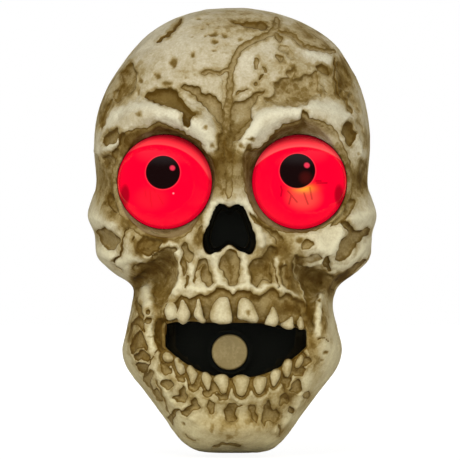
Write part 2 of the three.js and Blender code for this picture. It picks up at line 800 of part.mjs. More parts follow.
add("button_spring", wire(buttonCoil, springWire, 40, 5), steel, 0.3, 1);
const buttonBoard = block(
  buttonX - buttonBoardHalfWidth,
  buttonX + buttonBoardHalfWidth,
  buttonBoardBack,
  buttonBoardFront,
  buttonZ - buttonBoardHalfHeight,
  buttonZ + buttonBoardHalfHeight,
);
const boardHoles = [-1, 1].map((side) => rodOut(buttonX + side * boardPostX, buttonZ, 1.2 + pinGap, 0, 120, 8));
add("button_board", cut(buttonBoard, boardHoles), boardGreen, 0.5);

// Eyes: a glossy shell open at the back, round a cup that turns on two pins
function eyeShell(x) {
  const arc = (radius, steps) =>
    Array.from({ length: steps + 1 }, (_, i) => {
      const angle = THREE.MathUtils.degToRad((eyeWrapAngle * i) / steps);
      return [radius * Math.sin(angle), eyeDepth + radius * Math.cos(angle)];
    });
  const profile = [...arc(eyeRadius, 9), ...arc(eyeRadius - eyeWall, 6).reverse()];
  profile[0][0] = 0;
  profile[profile.length - 1][0] = 0;
  const hole = rodUp(x, eyeDepth, pinRadius + 2 * pinGap, eyeHeight - 60, eyeHeight + 60);
  return turnedOut(x, eyeHeight, profile, 24).subtract(hole);
}

function eyeCup(x) {
  const profile = [];
  const steps = 3;
  for (let i = 0; i <= steps; i++) {
    const forward = -cupBack + ((cupFront + cupBack) * i) / steps;
    profile.push([Math.sqrt(cupOuterRadius ** 2 - forward ** 2), eyeDepth + forward]);
  }
  profile.push([cupOuterRadius - cupThickness - 0.6, eyeDepth + cupFront]);
  profile.push([cupRearRadius - cupThickness, eyeDepth - cupBack]);
  profile.push([...profile[0]]);
  const lever = block(
    x - leverHalfWidth,
    x + leverHalfWidth,
    pegDepth - pegRadius - 0.6,
    eyeDepth - cupBack + 4,
    leverTop - leverThickness,
    leverTop,
  );
  const peg = rodUp(x, pegDepth, pegRadius, leverTop - 1, eyeHeight + eyeRadius + armGap - 0.6);
  const hubReach = cupOuterRadius - 0.6;
  const hubs = [
    rodUp(x, eyeDepth, bossRadius, eyeHeight + eyeRadius - pinReach - 1, eyeHeight + hubReach),
    rodUp(x, eyeDepth, bossRadius, eyeHeight - hubReach, eyeHeight - eyeRadius + pinReach + 1),
  ];
  const bores = [
    rodUp(x, eyeDepth, pinRadius + pinGap, eyeHeight + eyeRadius - pinReach - fitGap, eyeHeight + 60),
    rodUp(x, eyeDepth, pinRadius + pinGap, eyeHeight - 60, eyeHeight - eyeRadius + pinReach + fitGap),
  ];
  return cut(joined([turnedOut(x, eyeHeight, profile, 22), lever, peg, ...hubs]), bores);
}

// A pivot pin from its head beyond the arm to its end inside the cup, way is 1 above the eye and -1 below
function pivotPin(x, way) {
  const inner = eyeHeight + way * (eyeRadius - pinReach);
  const seat = (way > 0 ? armHigh : armLow) + way * fitGap;
  const end = seat + way * pinHeadHeight;
  const shank = rodUp(x, eyeDepth, pinRadius, Math.min(inner, end), Math.max(inner, end));
  return shank.add(rodUp(x, eyeDepth, pinHeadRadius, Math.min(seat, end), Math.max(seat, end)));
}

for (const [name, side] of [["left", -1], ["right", 1]]) {
  const x = side * eyeX;
  add(`${name}_eyeball`, eyeShell(x), 0xd80a1c, 0.12);
  add(`${name}_eye_cup`, eyeCup(x), 0xd8d4cc, 0.5);
  add(`${name}_upper_pin`, pivotPin(x, 1), steel, 0.3, 1);
  add(`${name}_lower_pin`, pivotPin(x, -1), steel, 0.3, 1);
}

// Eye carrier: one plate with two arms for each eye and a pocket for the motor
const carrierLow = armLow - carrierMargin;
const carrierHigh = armHigh + carrierMargin;
const tongueHalfWidth = motorWidth / 2 + 5;
const rackHalfLength = ((rackTeeth - 1) / 2 + 0.32) * Math.PI * gearModule;
const rackWindow = rackHalfLength + leverLength * THREE.MathUtils.degToRad(lookAngle) + 1;
const lampZ = eyeHeight - lampDrop;
const carrierParts = [
  block(-carrierHalfWidth, carrierHalfWidth, carrierBack, carrierFront, carrierLow, carrierHigh),
  block(-tongueHalfWidth, tongueHalfWidth, carrierBack, carrierFront, armHigh, motorHigh + 4),
];
const carrierCuts = [
  block(-rackWindow, rackWindow, 0, carrierFront + 1, barLow - 2, barHigh + 1.5),
  block(-motorWidth / 2 - fitGap, motorWidth / 2 + fitGap, 0, motorFar + fitGap, barHigh, motorHigh + fitGap),
  block(17, 23, 0, 60, carrierLow - 1, carrierLow + 5),
];
for (const side of [-1, 1]) {
  const x = side * eyeX;
  const left = x - armHalfWidth;
  const right = x + armHalfWidth;
  const reach = eyeDepth + armReach;
  carrierParts.push(block(left, right, carrierBack, reach, armLow, armLow + armThickness));
  carrierParts.push(block(left, right, carrierBack, reach, armHigh - armThickness, armHigh));
  carrierCuts.push(rodUp(x, eyeDepth, pinRadius + pinGap, -100, 100));
  carrierCuts.push(rodOut(x, lampZ, 2.4, 0, 30));
}
for (const { x, z } of carrierEars) carrierCuts.push(rodOut(x, z, screwClear, 0, 60, 8));
add("eye_carrier", cut(joined(carrierParts), carrierCuts), greyPlastic, 0.55);
const earNames = ["upper_left", "upper_right", "lower_left", "lower_right"];
carrierEars.forEach(({ x, z }, i) => {
  add(`carrier_screw_${earNames[i]}`, screw(x, z, carrierBack - fitGap, screwLength, true), steel, 0.3, 1);
});

// Lamps on small boards in front of the carrier
for (const [name, side] of [["left", -1], ["right", 1]]) {
  const x = side * eyeX;
  const back = carrierFront + fitGap;
  const board = block(
    x - lampBoardWidth / 2,
    x + lampBoardWidth / 2,
    back,
    back + boardThickness,
    lampZ - lampBoardHeight / 2,
    lampZ + lampBoardHeight / 2,
  );
  add(`${name}_lamp_board`, board, boardGreen, 0.5);
  const foot = back + boardThickness + fitGap;
  const profile = [
    [0, foot],
    [lampRadius + 0.5, foot],
    [lampRadius + 0.5, foot + 1],
    [lampRadius, foot + 1],
    [lampRadius, foot + lampLength - lampRadius],
    [lampRadius * 0.75, foot + lampLength - lampRadius * 0.35],
    [0, foot + lampLength],
  ];
  add(`${name}_lamp`, turnedOut(x, lampZ, profile, 14), 0xff2a10, 0.15);
}

// Tie bar with slots for the lever pegs and a rack along its back
const gearPitch = Math.PI * gearModule;
const rackTip = rackPitchDepth - gearModule;
const rackProfile = [[-eyeX - 5, barRear]];
for (let i = 0; i < rackTeeth; i++) {
  const middle = (i - (rackTeeth - 1) / 2) * gearPitch;
  rackProfile.push([middle - gearPitch * 0.32, barRear]);
  rackProfile.push([middle - gearPitch * 0.09, rackTip]);
  rackProfile.push([middle + gearPitch * 0.09, rackTip]);
  rackProfile.push([middle + gearPitch * 0.32, barRear]);
}
rackProfile.push([eyeX + 5, barRear], [eyeX + 5, barFront], [-eyeX - 5, barFront]);
const slotHalf = pegRadius + pinGap;
const pegSlots = [-1, 1].map((side) => {
  const x = side * eyeX;
  const ends = [rodUp(x, pegDepth, slotHalf, 0, 100), rodUp(x, pegDepth + pegRise, slotHalf, 0, 100)];
  return joined([...ends, block(x - slotHalf, x + slotHalf, pegDepth, pegDepth + pegRise, 0, 100)]);
});
add("eye_tie_bar", cut(upright(rackProfile, barLow, barHigh), pegSlots), 0xe4e0d4, 0.5);

// Pinion on its shaft: straight-flanked teeth with a gap facing the rack's middle tooth
const pinionProfile = [];
for (let i = 0; i < pinionTeeth; i++) {
  const middle = Math.PI / 2 + ((i + 0.5) * 2 * Math.PI) / pinionTeeth;
  const half = Math.PI / pinionTeeth;
  for (const [share, radius] of [
    [-0.56, pinionPitchRadius - 1.2 * gearModule],
    [-0.4, pinionPitchRadius],
    [-0.16, pinionPitchRadius + 0.9 * gearModule],
    [0.16, pinionPitchRadius + 0.9 * gearModule],
    [0.4, pinionPitchRadius],
    [0.56, pinionPitchRadius - 1.2 * gearModule],
  ]) {
    const angle = middle + share * half;
    pinionProfile.push([radius * Math.cos(angle), pinionDepth + radius * Math.sin(angle)]);
  }
}
const pinionLow = (barLow + barHigh - pinionThickness) / 2;
const pinionBlank = upright(pinionProfile, pinionLow, pinionLow + pinionThickness);
const shaftHigh = gearboxLow + shaftReach;
add("motor_pinion", pinionBlank.add(rodUp(0, pinionDepth, shaftRadius, pinionLow - 1, shaftHigh)), 0xe4e0d4, 0.5);

// Gearbox, motor and strap
const halfMotor = motorWidth / 2;
const gearboxBody = block(-halfMotor, halfMotor, motorNear, motorFar, gearboxLow, gearboxLow + gearboxLength);
const shaftBore = rodUp(0, pinionDepth, shaftRadius + pinGap, gearboxLow - 1, shaftHigh + fitGap);
add("motor_gearbox", gearboxBody.subtract(shaftBore), 0xb08d45, 0.35, 1);
const motorLow = gearboxLow + gearboxLength + fitGap;
const motorCan = rodUp(0, pinionDepth, halfMotor, motorLow, motorHigh, 20);
const motorFlats = block(-halfMotor, halfMotor, motorNear, motorFar, motorLow, motorHigh);
add("eye_motor", motorCan.intersect(motorFlats), steel, 0.3, 1);
const strapLow = motorLow + (motorLength - strapHeight) / 2;
const strapOut = halfMotor + fitGap + strapThickness;
const strapIn = halfMotor + fitGap;
const strapNear = motorNear - fitGap - strapThickness;
const strapFar = carrierBack - fitGap;
const strap = block(-strapOut, strapOut, strapNear, strapFar, strapLow, strapLow + strapHeight);
const strapBore = block(-strapIn, strapIn, motorNear - fitGap, 60, 0, 100);
add("motor_strap", strap.subtract(strapBore), greyPlastic, 0.55);

// Back cover with its lip, battery box, speaker ring and board posts
const coverEdge = insetOutline(outline, coverInset);
const lipOuter = insetOutline(cavityOutline, lipGap);
const lipInner = insetOutline(cavityOutline, lipGap + lipThickness);
const lipShape = new THREE.Shape(lipOuter);
lipShape.holes.push(new THREE.Path(lipInner));
const boardCorners = [
  [boardLeft + boardScrewInset, boardLow + boardScrewInset],
  [boardRight - boardScrewInset, boardHigh - boardScrewInset],
  [boardLeft + boardScrewInset, boardHigh - boardScrewInset],
  [boardRight - boardScrewInset, boardLow + boardScrewInset],
];
const boxOuter = boxHalfLength + boxWall;
const speakerSeat = speakerRadius + fitGap;
const coverParts = [
  slab(new THREE.Shape(coverEdge), 0, coverThickness),
  slab(lipShape, coverThickness - 0.5, coverThickness + lipHeight),
  block(-boxOuter, boxOuter, coverThickness - 0.5, boxFloorDepth + boxWall, boxBottom - boxWall, boxTop + boxWall),
  rodOut(speakerX, speakerZ, speakerSeat + 1.6, coverThickness - 0.5, coverThickness + 2.2, 32),
];
for (const [x, z] of boardCorners) coverParts.push(rodOut(x, z, postRadius, 1, boardDepth - fitGap));
const coverCuts = [
  block(-boxHalfLength, boxHalfLength, coverThickness, boxFloorDepth, boxBottom, boxTop),
  block(-boxHalfLength, boxHalfLength, -1, coverThickness + 1, doorLow, boxTop),
  rodOut(speakerX, speakerZ, speakerSeat, coverThickness, 60, 32),
  rodOut(0, keyholeZ, keyholeRadius, -1, 60, 16),
  block(-keySlotHalfWidth, keySlotHalfWidth, -1, 60, keyholeZ, keyholeZ + keySlotLength),
  rodOut(0, keyholeZ + keySlotLength, keySlotHalfWidth, -1, 60),
  block(
    -switchTravel / 2 - knobHalfWidth - 0.4,
    switchTravel / 2 + knobHalfWidth + 0.4,
    -1,
    60,
    switchZ - knobHalfHeight - 0.4,
    switchZ + knobHalfHeight + 0.4,
  ),
];
for (const { x, z } of shellScrews) {
  coverCuts.push(rodOut(x, z, screwClear, -1, 60, 8));
  coverCuts.push(rodOut(x, z, screwHeadRadius + 0.4, -1, screwHeadHeight + 0.5));
}
for (const [x, z] of boardCorners.slice(0, 2)) coverCuts.push(rodOut(x, z, pilotRadius, 1.2, 60, 8));
for (const [count, reach] of [[1, 0], [5, 7], [8, 13]]) {
  for (let i = 0; i < count; i++) {
    const angle = (2 * Math.PI * i) / count;
    const x = speakerX + reach * Math.cos(angle);
    const z = speakerZ + reach * Math.sin(angle);
    coverCuts.push(rodOut(x, z, grilleHoleRadius, -1, 60, 6));
  }
}
const hooks = [];
const hookDepth = coverThickness + fitGap + 1 + fitGap;
for (let i = 0; i < 3; i++) {
  const angle = Math.PI / 2 + (2 * Math.PI * i) / 3;
  const hook = new THREE.BoxGeometry(3.4, 1.2, 6);
  hook.translate(speakerSeat + 1.6 - 1.7, -(hookDepth + 0.6), 0);
  hook.rotateY(-angle);
  hook.translate(speakerX, 0, speakerZ);
  hooks.push(solid(hook));
}
add("back_cover", joined([cut(joined(coverParts), coverCuts), ...hooks]), greyPlastic, 0.6);
const shellScrewNames = ["top_left", "top_right", "cheek_left", "cheek_right", "jaw_left", "jaw_right"];
shellScrews.forEach(({ x, z }, i) => {
  add(`shell_screw_${shellScrewNames[i]}`, screw(x, z, screwHeadHeight + 0.2, screwLength, true), steel, 0.3, 1);
});

// Battery door with two tabs under the lower lip and a finger scoop
const doorHalf = boxHalfLength - fitGap;
const doorParts = [block(-doorHalf, doorHalf, 0.2, 0.2 + doorThickness, doorLow + fitGap, boxTop - fitGap)];
const tabNear = coverThickness + fitGap;
const tabFar = tabNear + 1.5;
for (const side of [-1, 1]) {
  const left = side * tabX - tabWidth / 2;
  doorParts.push(block(left, left + tabWidth, 1.2, tabFar, doorLow + fitGap + 0.4, doorLow + fitGap + 2.4));
  const toe = doorLow - doorLip + 0.7;
  doorParts.push(block(left + 0.4, left + tabWidth - 0.4, tabNear, tabFar - 0.2, toe, doorLow + 1.2));
}
const scoop = block(-8, 8, -1, 1.1, boxTop - 7.5, boxTop - 4);
add("battery_door", joined(doorParts).subtract(scoop), greyPlastic, 0.6);

// Cells laid across the box, turned end for end in series
const cellEnd = cellLength / 2;
const cellNames = ["upper", "middle", "lower"];
const contactReach = cellLength + cellNubLength + contactSpringLength + 2 * fitGap;
for (let i = 0; i < cellCount; i++) {
  const z = boxTop - cellGap - cellPitch * i - cellDiameter / 2;
  const way = i % 2 === 0 ? 1 : -1;
  const shift = (way * (contactSpringLength - cellNubLength)) / 2;
  const can = rodAcross(shift - cellEnd, shift + cellEnd, cellDepth, z, cellDiameter / 2, 18);
  const nubEnds = [shift + way * (cellEnd - 1), shift + way * (cellEnd + cellNubLength)];
  const nub = rodAcross(Math.min(...nubEnds), Math.max(...nubEnds), cellDepth, z, cellNubRadius, 12);
  add(`${cellNames[i] ?? i}_cell`, can.add(nub), 0x2f6b46, 0.35, 0.3);
}

// Battery contacts: sheet plates, some carrying a coil, some bridging two cells
function contact(side, rows, coils) {
  const wall = boxHalfLength - fitGap;
  const face = side * (wall - contactThickness);
  const rowZ = (row) => boxTop - cellGap - cellPitch * row - cellDiameter / 2;
  const high = rowZ(rows[0]) + 5;
  const low = rowZ(rows[rows.length - 1]) - 5;
  const plate = block(
    Math.min(side * wall, face),
    Math.max(side * wall, face),
    cellDepth - 5,
    cellDepth + 5,
    low,
    high,
  );
  const inward = new THREE.Vector3(-side, 0, 0);
  const coiled = coils.map((row) => {
    const start = new THREE.Vector3(face + side * 0.3, -cellDepth, rowZ(row));
    const length = contactSpringLength - contactSpringWire;
    const coil = new Coil(start, inward, upward, length, 4.4, 2.2, 3);
    return wire(coil, contactSpringWire, 24, 4);
  });
  return joined([plate, ...coiled]);
}

add("contact_plus", contact(1, [0], []), steel, 0.3, 1);
add("contact_bridge_left", contact(-1, [0, 1], [0]), steel, 0.3, 1);
add("contact_bridge_right", contact(1, [1, 2], [1]), steel, 0.3, 1);
add("contact_minus", contact(-1, [2], [2]), steel, 0.3, 1);

// Speaker: a pressed basket with its magnet, and a cone that faces the grille
const speakerBack = coverThickness + fitGap;
const basketProfile = [
  [0, speakerBack + 6],
  [magnetRadius, speakerBack + 6],
  [speakerRadius - 2.4, speakerBack],
  [speakerRadius, speakerBack],
  [speakerRadius, speakerBack + 1],
  [speakerRadius - 3, speakerBack + 1],
  [magnetRadius + 1, speakerBack + 7],
  [magnetRadius, speakerBack + speakerDepth],
  [0, speakerBack + speakerDepth],
];
add("speaker_basket", turnedOut(speakerX, speakerZ, basketProfile, 22), 0x3a3b3d, 0.4, 0.6);
const coneProfile = [
  [0, speakerBack + 3.4],
  [4.2, speakerBack + 4.6],
  [speakerRadius - 3.2, speakerBack + 0.2],
  [speakerRadius - 3.2, speakerBack - 0.1],
  [4, speakerBack + 3.8],
  [0, speakerBack + 2.6],
];
add("speaker_cone", turnedOut(speakerX, speakerZ, coneProfile, 22), 0x1b1b1c, 0.9);

// Power switch on the cover
const switchNear = coverThickness + fitGap;
const switchBlock = block(
  -switchHalfWidth,
  switchHalfWidth,
  switchNear,
  switchNear + switchBodyDepth,
  switchZ - switchHalfHeight,
  switchZ + switchHalfHeight,
);
const switchWay = block(
  -switchTravel / 2 - knobHalfWidth - 0.4,
  switchTravel / 2 + knobHalfWidth + 0.4,
  0,
  switchNear + 3.4,
  switchZ - knobHalfHeight - 0.4,
  switchZ + knobHalfHeight + 0.4,
);
add("switch_body", switchBlock.subtract(switchWay), steel, 0.35, 1);
const knobX = -switchTravel / 2;
const knob = block(
  knobX - knobHalfWidth,
  knobX + knobHalfWidth,
  0.5,
  switchNear + 3.1,
  switchZ - knobHalfHeight,
  switchZ + knobHalfHeight,
);
add("switch_knob", knob, 0x141414, 0.5);

// Main board with its sound chip under a black drop, and two screws
const boardFar = boardDepth + boardThickness;
const boardBlank = block(boardLeft, boardRight, boardDepth, boardFar, boardLow, boardHigh);
const boardCuts = boardCorners.slice(0, 2).map(([x, z]) => rodOut(x, z, screwClear, 0, boardFar + 1, 8));
add("main_board", cut(boardBlank, boardCuts), boardGreen, 0.5);
const chipX = (boardLeft + boardRight) / 2;
const chipZ = (boardLow + boardHigh) / 2;
const chipProfile = [
  [0, boardFar + fitGap],
  [chipRadius, boardFar + fitGap],
  [chipRadius * 0.8, boardFar + fitGap + chipHeight * 0.7],
  [0, boardFar + fitGap + chipHeight],
];
add("sound_chip", turnedOut(chipX, chipZ, chipProfile, 16), 0x0c0c0d, 0.3);
boardCorners.slice(0, 2).forEach(([x, z], i) => {
  const body = screw(x, z, boardFar + fitGap, 6, false);
  add(`main_board_screw_${["low", "high"][i]}`, body, steel, 0.3, 1);
});

// Leads between the boards, the cells, the motor, the lamps and the speaker
function lead(points) {
  const path = new THREE.CatmullRomCurve3(points.map(([x, depth, z]) => new THREE.Vector3(x, -depth, z)));
  return wire(path, leadRadius, 3 * (points.length - 1), 5);
}

const boardMid = boardDepth + boardThickness / 2;
const lampBack = carrierFront - 0.1;
const leads = {
  battery_lead: [
    [26, 12, boxTop + boxWall + fitGap],
    [26, 11, boxTop + 12],
    [28, 8, 30],
    [33, boardMid, boardLow - 8],
    [33, boardMid, boardLow - fitGap],
  ],
  speaker_lead: [
    [speakerX + speakerRadius + 2.6, 4.6, speakerZ - 4],
    [0, 4.6, speakerZ - 3],
    [10, 5.4, speakerZ - 3],
    [boardLeft - fitGap, boardMid, speakerZ - 3],
  ],
  motor_lead: [
    [0, pinionDepth, motorHigh + fitGap],
    [2, pinionDepth - 0.6, motorHigh + 5],
    [9, 8.5, motorHigh + 5],
    [boardLeft - fitGap, boardMid, boardHigh - 5],
  ],
  left_lamp_lead: [
    [boardLeft - fitGap, boardMid, boardLow + 8],
    [5, 4.8, boardLow + 2],
    [-14, 5, 50],
    [-eyeX + 6, 10, lampZ + 8],
    [-eyeX, 15, lampZ],
    [-eyeX, lampBack, lampZ],
  ],
  right_lamp_lead: [
    [42, boardMid, boardLow - fitGap],
    [42, boardMid, boardLow - 8],
    [eyeX + 3, 10, lampZ + 8],
    [eyeX, 15, lampZ],
    [eyeX, lampBack, lampZ],
  ],
  button_lead: [
    [buttonX + buttonTabX, buttonBoardBack - fitGap, buttonZ - buttonTabDrop],
    [buttonX + buttonTabX, buttonBoardBack - buttonTabX / 2, buttonZ - buttonTabDrop],
    [18, 29, -35],
    [20, 26.5, -16],
    [20, 23.6, carrierLow],
    [20, 15, carrierLow + 2.6],
    [20, 9, 20],
    [22, boardMid, boardLow - 8],
    [22, boardMid, boardLow - fitGap],
  ],
};
for (const [name, points] of Object.entries(leads)) add(name, lead(points), 0x9c1f1a, 0.5);

export default group;
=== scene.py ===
import json
import math

import bmesh
import bpy
import numpy as np
import openvdb
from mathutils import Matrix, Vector, noise


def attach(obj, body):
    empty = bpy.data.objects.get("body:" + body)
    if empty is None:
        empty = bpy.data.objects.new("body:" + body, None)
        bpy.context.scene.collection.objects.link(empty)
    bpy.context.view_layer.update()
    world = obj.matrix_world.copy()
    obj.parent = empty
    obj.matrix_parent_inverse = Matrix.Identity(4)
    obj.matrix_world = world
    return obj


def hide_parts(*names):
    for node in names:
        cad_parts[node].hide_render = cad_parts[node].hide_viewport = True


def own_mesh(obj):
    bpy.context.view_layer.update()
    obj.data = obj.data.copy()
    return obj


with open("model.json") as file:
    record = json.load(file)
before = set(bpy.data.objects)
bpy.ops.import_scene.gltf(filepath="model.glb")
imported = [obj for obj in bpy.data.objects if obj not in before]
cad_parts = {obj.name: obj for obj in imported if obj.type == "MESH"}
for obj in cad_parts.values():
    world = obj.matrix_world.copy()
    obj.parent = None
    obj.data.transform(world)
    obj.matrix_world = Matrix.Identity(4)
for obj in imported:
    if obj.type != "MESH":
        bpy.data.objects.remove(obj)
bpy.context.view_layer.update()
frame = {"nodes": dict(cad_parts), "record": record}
mm = 0.001
scene = bpy.context.scene
print("frame loaded")

# Camera: square on to the face and far back, as a catalogue picture is taken
cameraSet = {
    "distance": 3000.0, "pixel": 0.5418, "rim": 3.1, "aimX": -1.08, "aimZ": 0.27, "pixels": 460, "sensor": 36,
    "reach": 50,
}


def makeCamera(s):
    data = bpy.data.cameras.new("camera")
    data.sensor_width = s["sensor"]
    data.lens = s["sensor"] * (s["distance"] - s["rim"]) / (s["pixels"] * s["pixel"])
    data.clip_end = s["reach"]
    camera = bpy.data.objects.new("camera", data)
    camera.location = (s["aimX"] * mm, -s["distance"] * mm, s["aimZ"] * mm)
    camera.rotation_euler = (math.pi / 2, 0, 0)
    scene.collection.objects.link(camera)
    scene.camera = camera


# Millimetres that a pixel spans at a depth
def pixelSpan(depth, s=cameraSet):
    return s["pixel"] * (s["distance"] - depth) / (s["distance"] - s["rim"])


# Place in the picture of a point at x, depth and height, in millimetres
def pixelOf(x, depth, z, s=cameraSet):
    k, middle = pixelSpan(depth), s["pixels"] / 2
    return middle + (x - s["aimX"]) / k, middle - (z - s["aimZ"]) / k


# Point in millimetres at a given depth for a place in the picture
def faceOf(points, depth=66.0, s=cameraSet):
    k, middle = pixelSpan(depth), s["pixels"] / 2
    return [((px - middle) * k + s["aimX"], (middle - py) * k + s["aimZ"]) for px, py in points]


makeCamera(cameraSet)


# Small tools for curves and fields
def smooth(value, low, high):
    t = np.clip((value - low) / (high - low), 0, 1)
    return t * t * (3 - 2 * t)


def softMax(a, b, radius):
    h = np.maximum(radius - np.abs(a - b), 0) / radius
    return np.maximum(a, b) + h * h * radius * 0.25


# A soft round swelling that is 1 in its middle
def mound(u, v, cu, cv, wide, tall):
    return np.exp(-(((u - cu) / wide) ** 2) - ((v - cv) / tall) ** 2)


def closedCurve(points, steps):
    p = np.array(points, float)
    rows = []
    u = np.linspace(0, 1, steps, endpoint=False)[:, None]
    for i in range(len(p)):
        p0, p1, p2, p3 = (p[(i + k) % len(p)] for k in (-1, 0, 1, 2))
        t0, t1, t2 = (max(math.hypot(*(b - a)), 1e-4) ** 0.5 for a, b in ((p0, p1), (p1, p2), (p2, p3)))
        m1 = ((p1 - p0) / t0 - (p2 - p0) / (t0 + t1) + (p2 - p1) / t1) * t1
        m2 = ((p2 - p1) / t1 - (p3 - p1) / (t1 + t2) + (p3 - p2) / t2) * t1
        start = (2 * u**3 - 3 * u**2 + 1) * p1 + (u**3 - 2 * u**2 + u) * m1
        rows.append(start + (3 * u**2 - 2 * u**3) * p2 + (u**3 - u**2) * m2)
    return np.concatenate(rows)


# Distance to a line through points, closed or open; a closed one is below zero inside
def lineDistance(u, v, points, closed):
    best = np.full(u.shape, 1e9)
    inside = np.zeros(u.shape, bool)
    ends = np.roll(points, -1, axis=0) if closed else np.asarray(points)[1:]
    for (ax, ay), (bx, by) in zip(points, ends):
        ex, ey = bx - ax, by - ay
        t = np.clip(((u - ax) * ex + (v - ay) * ey) / (ex * ex + ey * ey + 1e-9), 0, 1)
        best = np.minimum(best, (u - ax - t * ex) ** 2 + (v - ay - t * ey) ** 2)
        if closed and abs(ey) > 1e-9:
            inside ^= ((ay > v) != (by > v)) & (u < ax + (v - ay) * ex / ey)
    return np.where(inside, -1, 1) * np.sqrt(best)


# Smooth but for edges sharper than the angle
def smoothShade(mesh, angle):
    mesh.shade_smooth()
    mesh.set_sharp_from_angle(angle=angle)


# Finished mesh object at the origin
def addPiece(name, points, faces, material, angle=0.7):
    mesh = bpy.data.meshes.new(name)
    mesh.from_pydata([tuple(p) for p in points], [], faces)
    mesh.validate()
    smoothShade(mesh, angle)
    if material:
        mesh.materials.append(material)
    piece = bpy.data.objects.new(name, mesh)
    scene.collection.objects.link(piece)
    return piece


# Points and faces of a profile of (radius, depth) turned about an axis along the depth
def turned(x, z, profile, around):
    points, faces, rings = [], [], []
    for radius, depth in profile:
        count = 1 if radius < 1e-6 else around
        rings.append((len(points), count))
        for i in range(count):
            a = 2 * math.pi * i / around
            points.append((x + radius * math.cos(a), -depth, z + radius * math.sin(a)))
    for (first, n), (second, m) in zip(rings, rings[1:]):
        for i in range(around):
            j = (i + 1) % around
            corners = [first + i % n, first + j % n, second + j % m, second + i % m]
            kept = list(dict.fromkeys(corners))
            if len(kept) > 2:
                faces.append(kept)
    return np.array(points) * mm, faces


# Turns all faces outward, after joining points closer than the merge distance
def fixNormals(piece, merge=1e-7):
    work = bmesh.new()
    work.from_mesh(piece.data)
    if merge:
        bmesh.ops.remove_doubles(work, verts=work.verts, dist=merge)
    bmesh.ops.recalc_face_normals(work, faces=work.faces)
    work.to_mesh(piece.data)
    work.free()


# Turns a piece's modifiers into its own mesh
def convert(piece):
    graph = bpy.context.evaluated_depsgraph_get()
    graph.update()
    mesh = bpy.data.meshes.new_from_object(piece.evaluated_get(graph), depsgraph=graph)
    piece.modifiers.clear()
    old = piece.data
    piece.data = mesh
    mesh.name = piece.name
    bpy.data.meshes.remove(old)


# Points of a piece in millimetres as x, depth and height
def pointsOf(piece):
    flat = np.empty(len(piece.data.vertices) * 3, np.float32)
    piece.data.vertices.foreach_get("co", flat)
    p = flat.reshape(-1, 3) / mm
    return p[:, 0], -p[:, 1], p[:, 2]


def settle(piece, body, slotName, *nodes):
    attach(piece, body)
    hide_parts(*nodes)


# Small tools for node trees: a socket takes a number, a colour, a vector or a link
def feed(tree, socket, value):
    if isinstance(value, tuple) and socket.type == "RGBA":
        value = (*value, 1)
    if isinstance(value, (int, float, tuple)):
        socket.default_value = value
    elif value is not None:
        tree.links.new(value, socket)


# Fills a node's inputs by label, where an underscore stands for a space
def fill(tree, node, **values):
    for label, value in values.items():
        feed(tree, node.inputs[label.replace("_", " ")], value)
    return node


def addNode(tree, kind, **values):
    return fill(tree, tree.nodes.new(kind), **values)


def mathNode(tree, operation, a, b=None, c=None, clamp=False):
    node = tree.nodes.new("ShaderNodeMath")
    node.operation = operation
    node.use_clamp = clamp
    for socket, value in zip(node.inputs, (a, b, c)):
        feed(tree, socket, value)
    return node.outputs[0]


def vectorNode(tree, operation, a, b=None):
    node = tree.nodes.new("ShaderNodeVectorMath")
    node.operation = operation
    feed(tree, node.inputs[0], a)
    feed(tree, node.inputs[1], b)
    return node.outputs["Value" if operation in ("DOT_PRODUCT", "LENGTH") else "Vector"]


def noiseNode(tree, vector, scale, detail, rough=0.5):
    node = addNode(tree, "ShaderNodeTexNoise", Vector=vector, Scale=scale, Detail=detail, Roughness=rough)
    return node.outputs["Fac"]


def rangeNode(tree, value, low, high, toLow=0.0, toHigh=1.0, kind="SMOOTHSTEP"):
    node = addNode(tree, "ShaderNodeMapRange", Value=value, From_Min=low, From_Max=high)
    node.interpolation_type = kind
    return fill(tree, node, To_Min=toLow, To_Max=toHigh).outputs["Result"]


def mixColour(tree, share, a, b):
    node = tree.nodes.new("ShaderNodeMix")
    node.data_type = "RGBA"
    for socket, value in ((node.inputs[0], share), (node.inputs[6], a), (node.inputs[7], b)):
        feed(tree, socket, value)
    return node.outputs[2]


# New tree with its sockets: inputs by label, kind and value, outputs by label and kind
def newTree(name, treeKind, inputs, outputs):
    tree = bpy.data.node_groups.new(name, treeKind)
    names = {}
    for label, kind, value in inputs:
        socket = tree.interface.new_socket(label, in_out="INPUT", socket_type="NodeSocket" + kind)
        if value is not None:
            socket.default_value = value
        names[label] = socket.identifier
    for label, kind in outputs:
        tree.interface.new_socket(label, in_out="OUTPUT", socket_type="NodeSocket" + kind)
    return tree, tree.nodes.new("NodeGroupInput").outputs, tree.nodes.new("NodeGroupOutput"), names


# Finish: a plain colour with slight unevenness and a fine grain
def makeFinish():
    inputs = [("Vector", "Vector", None), ("Colour", "Color", (0.5, 0.5, 0.5, 1)), ("Rough", "Float", 0.5)]
    inputs += [("Variation", "Float", 0.1), ("Patch Scale", "Float", 45.0), ("Grain Scale", "Float", 900.0)]
    outputs = [("Colour", "Color"), ("Rough", "Float"), ("Height", "Float")]
    tree, given, out, _ = newTree("finish", "ShaderNodeTree", inputs, outputs)
    patch = noiseNode(tree, given["Vector"], given["Patch Scale"], 4)
    swing = mathNode(tree, "MULTIPLY", mathNode(tree, "SUBTRACT", patch, 0.5), given["Variation"])
    tint = addNode(tree, "ShaderNodeHueSaturation", Color=given["Colour"])
    fill(tree, tint, Value=mathNode(tree, "MULTIPLY_ADD", swing, 2.0, 1.0))
    fill(tree, out, Colour=tint.outputs["Color"])
    fill(tree, out, Rough=mathNode(tree, "ADD", given["Rough"], swing, clamp=True))
    fill(tree, out, Height=noiseNode(tree, given["Vector"], given["Grain Scale"], 3))
    return tree


farOutside = -4.0  # millimetres from the edge of a hollow, where none is near

